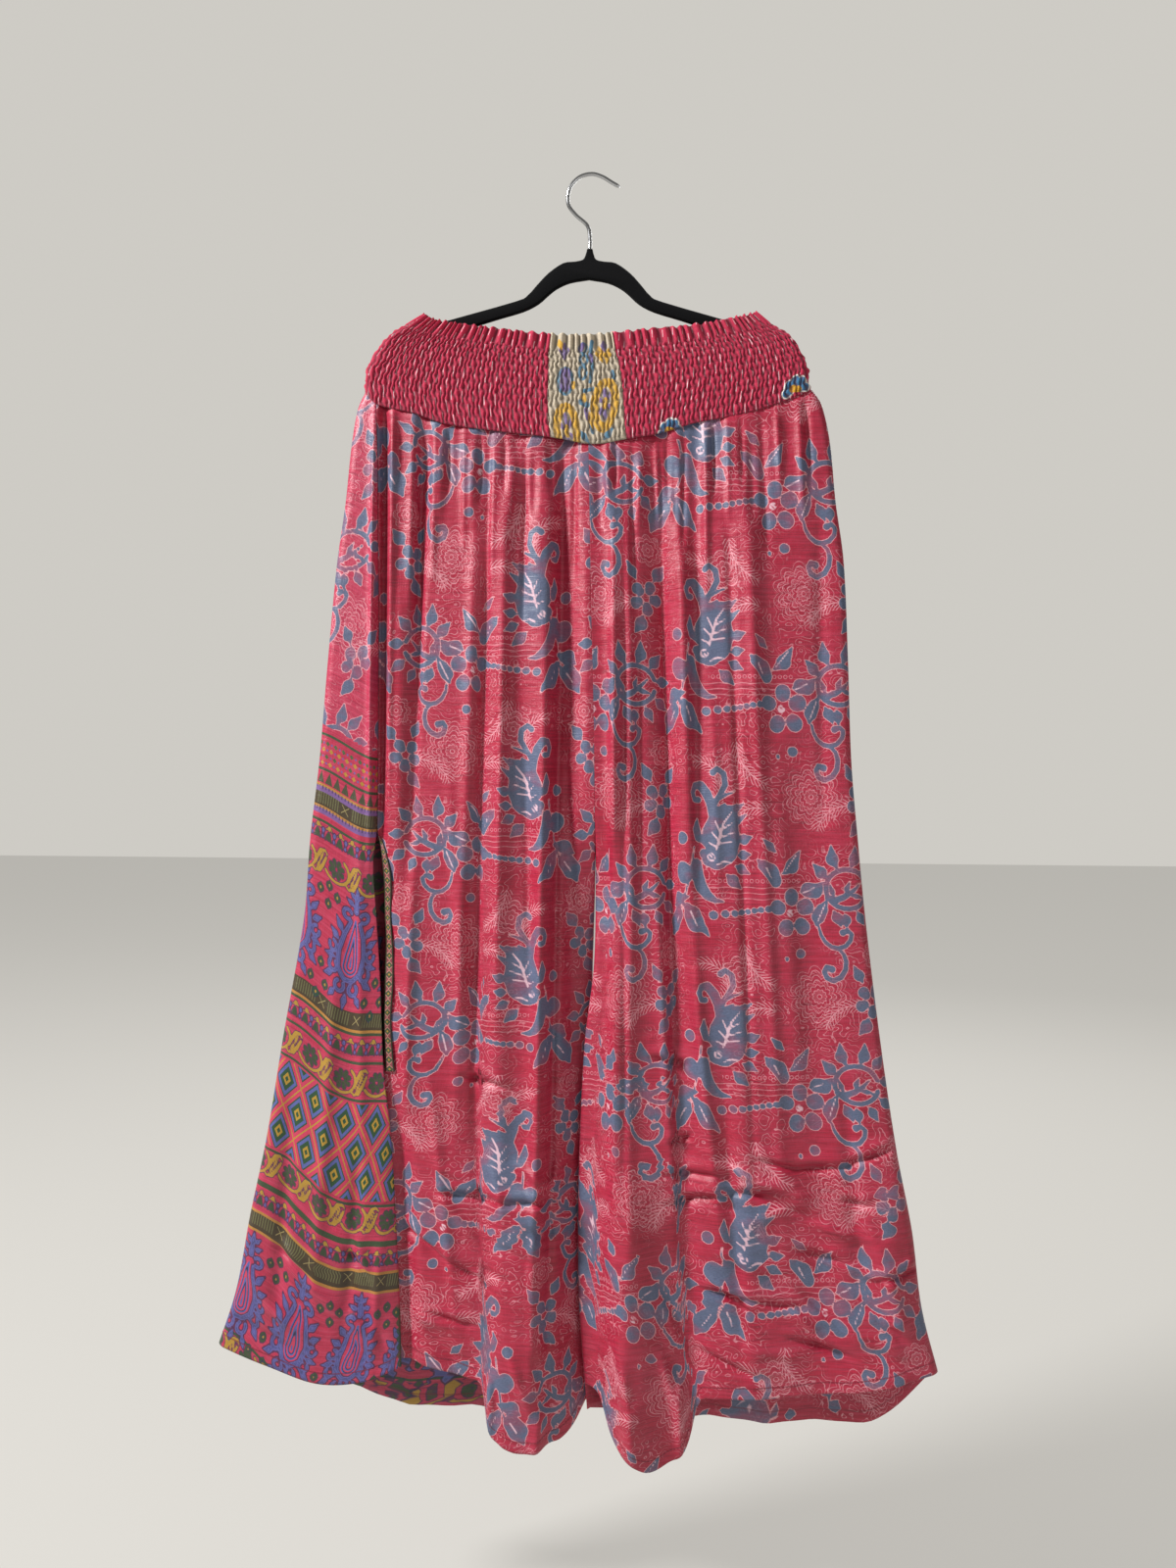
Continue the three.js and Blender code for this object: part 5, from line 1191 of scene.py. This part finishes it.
def border_print(tree, colour, u, v):
    lines, line_share = band_ramp(tree, v, LINES)
    trims, trim_share = band_ramp(tree, v, TRIMS)
    colour = nested_diamonds(tree, colour, u, v)
    colour = lay(tree, colour, (trims, trim_share, 0.75), (lines, line_share, 0.95))
    # Small crosses and cross threads on the three dark bands
    from_bands = [add(tree, "Math ABSOLUTE", add(tree, "Math SUBTRACT", v, middle))
                  for middle in (58.3, 232, 453.7)]
    from_band = add(tree, "Math MINIMUM", add(tree, "Math MINIMUM", *from_bands[:2]), from_bands[2])
    aside = add(tree, "Math ABSOLUTE", add(tree, "Math WRAP", u, 19.5, -19.5))
    cross = every(tree, near(tree, add(tree, "Math SUBTRACT", aside, from_band), 0.0, 0.45),
                  below(tree, aside, 3.8), below(tree, from_band, 5.6))
    threads = every(tree, near(tree, add(tree, "Math FRACT", add(tree, "Math DIVIDE", u, 2.7)), 0.5, 0.18,
                               0.1), outside(tree, below(tree, aside, 7.0)), below(tree, from_band, 5.4),
                    0.55)
    colour = lay(tree, colour, (linear("7C7F52"), threads), (linear("B9A86E"), cross, 0.6))
    # Chains of beads, a row of teeth, and a field of dots in rows that step aside
    beads = near(tree, add(tree, "Math FRACT", add(tree, "Math DIVIDE", u, 3.6)), 0.5, 0.16, 0.08)
    chains = most(tree, near(tree, v, 49, 1.5), near(tree, v, 68, 1.8))
    colour = lay(tree, colour, (NAVY, beads, chains, 0.8))
    tooth = add(tree, "Math MULTIPLY", add(tree, "Math ABSOLUTE", add(tree, "Math WRAP", u, 4.6, -4.6)),
                2.6)
    teeth = every(tree, below(tree, add(tree, "Math SUBTRACT", tooth, add(tree, "Math SUBTRACT", v, 34)),
                              0.0), near(tree, v, 39.8, 5.2))
    colour = lay(tree, colour, (GREEN, teeth, 0.9))
    dot_row = add(tree, "Math FLOOR", add(tree, "Math DIVIDE", v, 6.0))
    staggered = add(tree, "Math ADD", u, add(tree, "Math MULTIPLY", dot_row, 4.4))
    dot_u = add(tree, "Math ABSOLUTE", add(tree, "Math WRAP", staggered, 4.4, -4.4))
    dot_v = add(tree, "Math ABSOLUTE", add(tree, "Math SUBTRACT", add(tree, "Math WRAP", v, 6.0, 0.0),
                                           3.0))
    dots = every(tree, below(tree, add(tree, "Math ADD", dot_u, dot_v), 2.3), near(tree, v, 17.5, 12.0))
    row_kind = below(tree, add(tree, "Math WRAP", v, 12.0, 0.0), 6.0, 0.1)
    colour = lay(tree, colour, (add(tree, "Mix RGBA", row_kind, linear("2E5A34"), OCHRE), dots, 0.9))
    small = every(tree, near(tree, dot_u, 4.4, 0.9), near(tree, dot_v, 0.0, 1.0),
                  near(tree, v, 17.5, 12.0))
    colour = lay(tree, colour, (BLUE, small, 0.8))
    # The charted motifs, each filled and given a dark outline, with curls and rings inside
    blue, core, green, ochre = (add(tree, "Attribute", attribute_name=name).node.outputs["Fac"]
                                for name in ("border_blue", "paisley_core", "border_green",
                                             "border_ochre"))
    for distance, shade, edge in ((blue, BLUE, 0.45), (green, GREEN, 0.25), (ochre, OCHRE, 0.25)):
        colour = lay(tree, colour, (NAVY, near(tree, distance, edge, edge + 0.15), 0.85),
                     (shade, below(tree, distance, 0.0), 0.95))
    curls = near(tree, add(tree, "Math FRACT", add(tree, "Math DIVIDE", blue, 2.0)), 0.5, 0.14, 0.08)
    colour = lay(tree, colour, (NAVY, curls, below(tree, blue, -0.9), 0.6))
    rings = add(tree, "Math FRACT", add(tree, "Math DIVIDE", core, 3.2))
    colour = lay(tree, colour, (BLUE, below(tree, core, 1.0)),
                 (PINK, below(tree, core, 1.0), below(tree, rings, 0.42, 0.06)),
                 (NAVY, below(tree, core, 1.2), near(tree, rings, 0.55, 0.12, 0.06)))
    # A scalloped line along the panel's free edge
    edge = add(tree, "Attribute", attribute_name="front_edge").node.outputs["Fac"]
    scallop = add(tree, "Math MULTIPLY_ADD",
                  add(tree, "Math ABSOLUTE", add(tree, "Math SINE", add(tree, "Math DIVIDE", v, 2.4))),
                  -2.4, edge)
    selvedge = every(tree, below(tree, scallop, 2.0), outside(tree, below(tree, v, 478, 3)),
                     below(tree, v, 554, 1))
    return add(tree, "Mix RGBA", every(tree, selvedge, 0.85), colour, GREEN)


def make_border_silk():
    """A rosier crimson under the border, so the panel stands apart from the leg beside it"""
    material, tree, surface = new_finish("border sari silk")
    u, v = flat_cloth(tree)
    colour, slub, yarn = silk_ground(tree, u, v, linear("B42646"), linear("C24A66"), linear("8C1836"))
    above = below(tree, v, -1.0, 0.5)
    plain = body_print(tree, colour, u, v)
    colour = add(tree, "Mix RGBA", above, border_print(tree, colour, u, v), plain)
    silk_surface(tree, surface, colour, slub, yarn)
    return material


def make_facing_silk():
    """Dull brownish reverse of the border, which sets the narrow strip off from both cloths"""
    material, tree, surface = new_finish("turned facing of border silk")
    u, v = flat_cloth(tree)
    colour, slub, yarn = silk_ground(tree, u, v, linear("7A2A36"), linear("935058"), linear("55202A"))
    aside = add(tree, "Math ABSOLUTE", add(tree, "Math SUBTRACT", u, 4.0))
    lozenge = add(tree, "Math ADD", aside,
                  add(tree, "Math ABSOLUTE", add(tree, "Math WRAP", v, 4.5, -4.5)))
    colour = lay(tree, colour, (GREEN, below(tree, lozenge, 3.4), 0.9),
                 (OCHRE, below(tree, lozenge, 1.2), 0.9),
                 (linear("C79A80"), near(tree, lozenge, 4.1, 0.4), 0.7),
                 (DARK, most(tree, below(tree, u, 1.3), outside(tree, below(tree, u, 6.9)))))
    silk_surface(tree, surface, colour, slub, yarn)
    return material


# %% [markdown]
# The waistband is plain-woven cotton: matt, with a fine even weave and rows of small white dashes
# printed along its length. Painted shade darkens the hollows between the ribs, and thin lines of painted
# shade run across the ribs along the elastic threads.

# %% Waistband cotton
def cotton_surface(tree, surface, colour, u, v):
    """Matt cotton: light spreads evenly over it, and a fine weave breaks up the ribs' shading"""
    tree.links.new(colour, surface.inputs["Base Color"])
    surface.inputs["Roughness"].default_value = 0.82
    surface.inputs["Sheen Weight"].default_value = 0.15
    weave = every(tree, *(add(tree, "Math SINE", add(tree, "Math MULTIPLY", at, 9.0)) for at in (u, v)))
    relief(tree, surface, add(tree, "Math MULTIPLY_ADD", grain(tree, u, v, 1.5, 1.5), 2.0, weave),
           0.00015, 0.5)


def elastic_rows(tree, v):
    """1 on the thin line of each elastic thread"""
    pitch = (LAST_ROW - HEADING_SHARE) * BAND_DEEP / (ELASTIC_ROWS - 1)
    from_row = add(tree, "Math WRAP", add(tree, "Math SUBTRACT", v, HEADING_SHARE * BAND_DEEP), pitch / 2,
                   -pitch / 2)
    return every(tree, near(tree, from_row, 0.0, 0.45, 0.3),
                 outside(tree, below(tree, v, HEADING_SHARE * BAND_DEEP - 1)))


def gather_shade(tree, colour, v, shade):
    """Painted shade: cloth that lies deep between two ribs, or under an elastic thread, is darkened towards
    the shade colour
    """
    # Painted shade in the hollows between the ribs, and thin lines of painted shade along the elastic threads
    deep = below(tree, add(tree, "Attribute", attribute_name="rib_top").node.outputs["Fac"], 0.3, 0.35)
    colour = lay(tree, colour, (shade, deep, 0.8))
    return add(tree, "Mix RGBA", every(tree, elastic_rows(tree, v), 0.22), colour, shade)


def make_band_cotton():
    """Deep pink with pale dashes that wander a little, as on cloth that is gathered by hand"""
    material, tree, surface = new_finish("dashed waistband cotton")
    u, v = flat_cloth(tree)
    cloth = grain(tree, u, v, 6.0, 1.5)
    colour = add(tree, "Mix RGBA", cloth, linear("AE0E38"), linear("CA244E"))
    column = add(tree, "Math FLOOR", add(tree, "Math DIVIDE", u, 5.4))
    shifted = add(tree, "Math ADD", v, add(tree, "Math MULTIPLY", column, 10.2))
    dash_u = add(tree, "Math WRAP", add(tree, "Math MULTIPLY_ADD", grain(tree, u, v, 30, 12), 1.6, u),
                 2.7, -2.7)
    dash_v = add(tree, "Math WRAP", add(tree, "Math MULTIPLY_ADD", grain(tree, u, v, 9, 40), 6.0,
                                        shifted), 10.2, -10.2)
    dash = every(tree, near(tree, dash_u, 0.0, 0.36, 0.2), near(tree, dash_v, 0.0, 4.4, 0.5))
    dash = every(tree, dash, add(tree, "Math MULTIPLY_ADD", grain(tree, u, v, 7.0, 7.0), 1.4, 0.0))
    colour = lay(tree, colour, (linear("F0D6DA"), dash))
    scrap, eye = (add(tree, "Attribute", attribute_name=name).node.outputs["Fac"]
                  for name in ("scrap_blue", "scrap_ochre"))
    colour = lay(tree, colour, (linear("E9E2DA"), below(tree, scrap, 1.6)),
                 (linear("2F6C95"), below(tree, scrap, 0.3)), (linear("D09A1C"), below(tree, eye, 0.2)))
    # Painted shade, dark wine, in the rib hollows and along the elastic rows
    colour = gather_shade(tree, colour, v, linear("4E0820"))
    cotton_surface(tree, surface, colour, u, v)
    return material


def make_patch_cotton():
    """Unbleached cream, the lightest cloth, with ochre, violet and teal shapes whose edges are worn"""
    material, tree, surface = new_finish("flowered patch cotton")
    u, v = flat_cloth(tree)
    colour = add(tree, "Mix RGBA", grain(tree, u, v, 8.0, 3.0), linear("B3A48E"), linear("D2C3AC"))
    for name, shade in (("patch_teal", "2A7092"), ("patch_purple", "6A5490"), ("patch_ochre", "D6A112")):
        charted = add(tree, "Attribute", attribute_name=name).node.outputs["Fac"]
        distance = add(tree, "Math MULTIPLY_ADD", grain(tree, u, v, 3.0, 3.0), 0.8, charted)
        colour = lay(tree, colour, (linear(shade), below(tree, distance, 0.6, 0.4), 0.9))
    # Painted shade, dark grey-brown, in the rib hollows and along the elastic rows
    colour = gather_shade(tree, colour, v, linear("5E554A"))
    cotton_surface(tree, surface, colour, u, v)
    return material


# %% [markdown]
# The hanger's flock is a coat of short black fibres: no gloss at all, a soft sheen at grazing
# angles and a fine rough relief. The hook is bright steel wire with faint drawing marks.

# %% Hanger's flock and wire
def make_flock():
    """Short fibres that swallow light: the arch reads as velvet, black in the middle and soft at its edge"""
    material, tree, surface = new_finish("black velvet flock")
    place = add(tree, "TexCoord").node.outputs["Object"]
    fibre = add(tree, "TexNoise", place, 2600.0, 2.0)
    tree.links.new(add(tree, "Mix RGBA", fibre, linear("040405"), linear("0E0E10")),
                   surface.inputs["Base Color"])
    surface.inputs["Roughness"].default_value = 0.95
    surface.inputs["Sheen Weight"].default_value = 0.12
    surface.inputs["Sheen Roughness"].default_value = 0.45
    surface.inputs["Specular IOR Level"].default_value = 0.1
    relief(tree, surface, fibre, 0.0003, 0.7)
    return material


def make_wire():
    """Drawn steel: a bright line of light along the bend, blurred a little by the drawing marks"""
    material, tree, surface = new_finish("bright steel wire")
    place = add(tree, "TexCoord").node.outputs["Object"]
    marks = add(tree, "TexNoise", place, 420.0, 3.0)
    surface.inputs["Base Color"].default_value = linear("B9BABC")
    surface.inputs["Metallic"].default_value = 1.0
    tree.links.new(add(tree, "Math MULTIPLY_ADD", marks, 0.12, 0.16), surface.inputs["Roughness"])
    relief(tree, surface, marks, 0.00002, 0.2)
    return material


def make_thread():
    """Dull thread a little darker than the silk, so the hem's stitches can just be seen"""
    material, _, surface = new_finish("polyester sewing thread")
    surface.inputs["Base Color"].default_value = linear("7E1230")
    surface.inputs["Roughness"].default_value = 0.55
    surface.inputs["Sheen Weight"].default_value = 0.2
    return material


printed_silk, border_silk, facing_silk = make_printed_silk(), make_border_silk(), make_facing_silk()
band_cotton, patch_cotton, flock = make_band_cotton(), make_patch_cotton(), make_flock()
for pieces, material in (((right_front, right_back, left_front), printed_silk),
                         ((left_back,), border_silk), ((slit_facing,), facing_silk),
                         ((band_left, band_right, band_back), band_cotton), ((band_patch,), patch_cotton),
                         ((hanger_body,), flock)):
    for piece in pieces:
        piece.data.materials.append(material)
    print(material.name, len(material.node_tree.nodes), "nodes")

# %% [markdown]
# The hook is a bent steel wire, and the hems are sewn with a row of short stitches. A wire follows
# a path and stitches repeat along one, so both are grown by Geometry Nodes on a line of points: a
# circle is swept along the hook's centre line, and one small bead of thread is set down again and
# again along each hem. The tree's sizes are named inputs, set on the modifier by their identifiers.

# %% Pieces grown along a path
WIRE_SIDES, WIRE_END = 16, (0.91, 0.69, 0.29)
STITCH_PITCH, STITCH_LENGTH, THREAD_RADIUS, STITCH_SEED = 3.4, 2.4, 0.26, 11


def path_tree(name, sizes):
    """A tree from a path to a piece, with a named input for each size and one for the finish"""
    tree = bpy.data.node_groups.new(name, "GeometryNodeTree")
    tree.interface.new_socket("Piece", in_out="OUTPUT", socket_type="NodeSocketGeometry")
    tree.interface.new_socket("Path", in_out="INPUT", socket_type="NodeSocketGeometry")
    for size in sizes:
        tree.interface.new_socket(size, in_out="INPUT", socket_type="NodeSocketFloat")
    tree.interface.new_socket("Finish", in_out="INPUT", socket_type="NodeSocketMaterial")
    given = add(tree, "NodeGroupInput").node.outputs
    return tree, given, add(tree, "GeometryNodeMeshToCurve", given["Path"])


def close_tree(tree, piece, finish):
    whole = add(tree, "GeometryNodeRealizeInstances", piece)
    add(tree, "NodeGroupOutput", add(tree, "GeometryNodeSetMaterial", whole, Material=finish))
    return tree


def wire_tree():
    tree, given, path = path_tree("wire along a path", ["Wire radius"])
    share = add(tree, "GeometryNodeInputNamedAttribute FLOAT", "wire_share")
    section = add(tree, "GeometryNodeCurvePrimitiveCircle", WIRE_SIDES, Radius=given["Wire radius"])
    tube = add(tree, "GeometryNodeCurveToMesh", path, section, share, True)
    return close_tree(tree, add(tree, "GeometryNodeSetShadeSmooth", tube), given["Finish"])


def stitch_tree():
    tree, given, path = path_tree("stitches along a path", ["Pitch", "Stitch length", "Thread radius"])
    places = add(tree, "GeometryNodeCurveToPoints", path, Length=given["Pitch"], mode="LENGTH")
    half = add(tree, "Math MULTIPLY", given["Stitch length"], 0.5)
    size = add(tree, "CombineXYZ", given["Thread radius"], given["Thread radius"], half)
    uneven = add(tree, "FunctionNodeRandomValue FLOAT", 0.88, 1.06, Seed=STITCH_SEED)
    scale = add(tree, "VectorMath SCALE", size, Scale=uneven)
    bead = add(tree, "GeometryNodeMeshIcoSphere", 1.0, 1)
    row = add(tree, "GeometryNodeInstanceOnPoints", places, Instance=bead,
              Rotation=places.node.outputs["Rotation"], Scale=scale)
    return close_tree(tree, row, given["Finish"])


def grow(name, lines, shares, tree, given, node=None):
    """Grow a piece by a tree on lines of points, and keep it as a plain mesh"""
    path = bpy.data.meshes.new(name)
    starts = np.cumsum([0] + [len(line) for line in lines])
    edges = [(i, i + 1) for start, line in zip(starts, lines)
             for i in range(start, start + len(line) - 1)]
    path.from_pydata((np.concatenate(lines) * MM).tolist(), [(int(a), int(b)) for a, b in edges], [])
    path.attributes.new("wire_share", "FLOAT", "POINT").data.foreach_set("value",
            np.asarray(shares, np.float32))
    piece = bpy.data.objects.new(name, path)
    bpy.context.scene.collection.objects.link(piece)
    modifier = piece.modifiers.new("grow", "NODES")
    modifier.node_group = tree
    sockets = {item.name: item.identifier for item in tree.interface.items_tree if item.in_out == "INPUT"}
    for socket, value in given.items():
        modifier[sockets[socket]] = value
    grown = bpy.data.meshes.new_from_object(piece.evaluated_get(bpy.context.evaluated_depsgraph_get()))
    piece.modifiers.remove(modifier)
    piece.data = grown
    declare(piece, node)
    print(name, len(grown.polygons), "faces")


hook_line = np.array([tilted(x, 0.0, z) for x, z in smooth_line(HOOK_LINE, 8)])
hook_shares = np.ones(len(hook_line))
hook_shares[-3:] = WIRE_END
wire_sizes = {"Wire radius": WIRE_RADIUS * MM, "Finish": make_wire()}
grow("hanger_hook_wire", [hook_line], hook_shares, wire_tree(), wire_sizes, "hanger_hook")
stitch_sizes = {"Pitch": STITCH_PITCH * MM, "Stitch length": STITCH_LENGTH * MM,
                "Thread radius": THREAD_RADIUS * MM, "Finish": make_thread()}
stitch_shares = np.ones(sum(map(len, hem_lines)))
grow("hem_stitches", hem_lines, stitch_shares, stitch_tree(), stitch_sizes)

# %% [markdown]
# Each piece of cloth is declared with the size it was cut to before it was sewn and hung, so that
# its area can be held against the real cut. The legs are wedges, so each gives its own flat area.

# %% Cut sizes of the cloth
def cloth_area(piece):
    """Half the area of the closed shell, in square metres"""
    mesh = piece.data
    areas = np.empty(len(mesh.polygons))
    mesh.polygons.foreach_get("area", areas)
    return areas.sum() / 2


CUTS = [  # piece, width, length, held, share of the rectangle that is cut
    (right_front, 0.40, 1.02, "hung", 0.86), (right_back, 0.40, 1.02, "hung", 0.86),
    (left_front, 0.27, 1.02, "hung", 0.9), (left_back, 0.54, 1.02, "hung", 0.8),
    (slit_facing, 0.0105, 0.24, "folded", 0.9), (band_left, 0.26, 0.105, "gathered", 1.0),
    (band_patch, 0.10, 0.108, "gathered", 1.0), (band_right, 0.26, 0.105, "gathered", 1.0),
    (band_back, 0.6, 0.105, "gathered", 1.0),
]
for piece, width, length, held, share in CUTS:
    print(f"{piece.name}: {cloth_area(piece):.4f} m2 of cloth, cut {width * length * share:.4f} m2")

# %% [markdown]
# The camera stands where the photograph was taken from, a little above the middle of the garment
# and turned slightly left. Large soft lamps light it from the front, and the floor is plain.

# %% Floor, light and camera
WALL_COLOUR, FLOOR_GLOW = "E6E3DC", 0.52
WALL_SEEN, WALL_LIGHT = 0.52, 0.26  # strength added where the camera sees the wall, and as light


def make_floor():
    mesh = bpy.data.meshes.new("studio_floor")
    reach, level = 9.0, -1.42
    corners = [(x * reach, y * reach, level) for x, y in ((-1, -1), (1, -1), (1, 1), (-1, 1))]
    mesh.from_pydata(corners, [], [(0, 1, 2, 3)])
    floor = bpy.data.objects.new("studio_floor", mesh)
    bpy.context.scene.collection.objects.link(floor)
    material, _, surface = new_finish("pale studio floor")
    surface.inputs["Base Color"].default_value = linear("84827E")
    surface.inputs["Emission Color"].default_value = linear(WALL_COLOUR)
    surface.inputs["Emission Strength"].default_value = FLOOR_GLOW
    surface.inputs["Roughness"].default_value = 0.9
    mesh.materials.append(material)


def make_lamp(name, place, target, size, power):
    lamp = bpy.data.lights.new(name, "AREA")
    lamp.shape, lamp.size, lamp.energy = "DISK", size, power
    holder = bpy.data.objects.new(name, lamp)
    holder.location = place
    holder.rotation_euler = (Vector(target) - Vector(place)).to_track_quat("-Z", "Y").to_euler()
    bpy.context.scene.collection.objects.link(holder)


bpy.context.scene.view_settings.view_transform = "Standard"
make_floor()
middle = (0, 0, -0.65)
make_lamp("window_light", (-2.9, -1.5, 2.0), middle, 0.7, 262)
make_lamp("front_fill", (1.7, -2.4, -0.2), middle, 1.8, 10)
make_lamp("back_light", (0.8, 2.4, 0.8), middle, 1.6, 34)
world = bpy.data.worlds.new("studio")
world.use_nodes = True
backdrop = world.node_tree.nodes["Background"]
backdrop.inputs[0].default_value = linear(WALL_COLOUR)
seen = add(world.node_tree, "LightPath").node.outputs["Is Camera Ray"]
glow = add(world.node_tree, "Math MULTIPLY_ADD", seen, WALL_SEEN, WALL_LIGHT)
world.node_tree.links.new(glow, backdrop.inputs[1])
bpy.context.scene.world = world

camera = bpy.data.objects.new("photo_camera", bpy.data.cameras.new("photo_camera"))
right, up = Vector((0.99877, 0.04936, 0.00520)), Vector((-0.00620, 0.02015, 0.99978))
back = right.cross(up).normalized()
camera.matrix_world = Matrix.Translation((0.0550, -1.1205, -0.5504)) @ Matrix((right, up,
        back)).transposed().to_4x4()
camera.data.sensor_fit, camera.data.sensor_width, camera.data.lens = "HORIZONTAL", 36.0, 36.06
camera.data.clip_start = 0.01
bpy.context.scene.collection.objects.link(camera)
bpy.context.scene.camera = camera
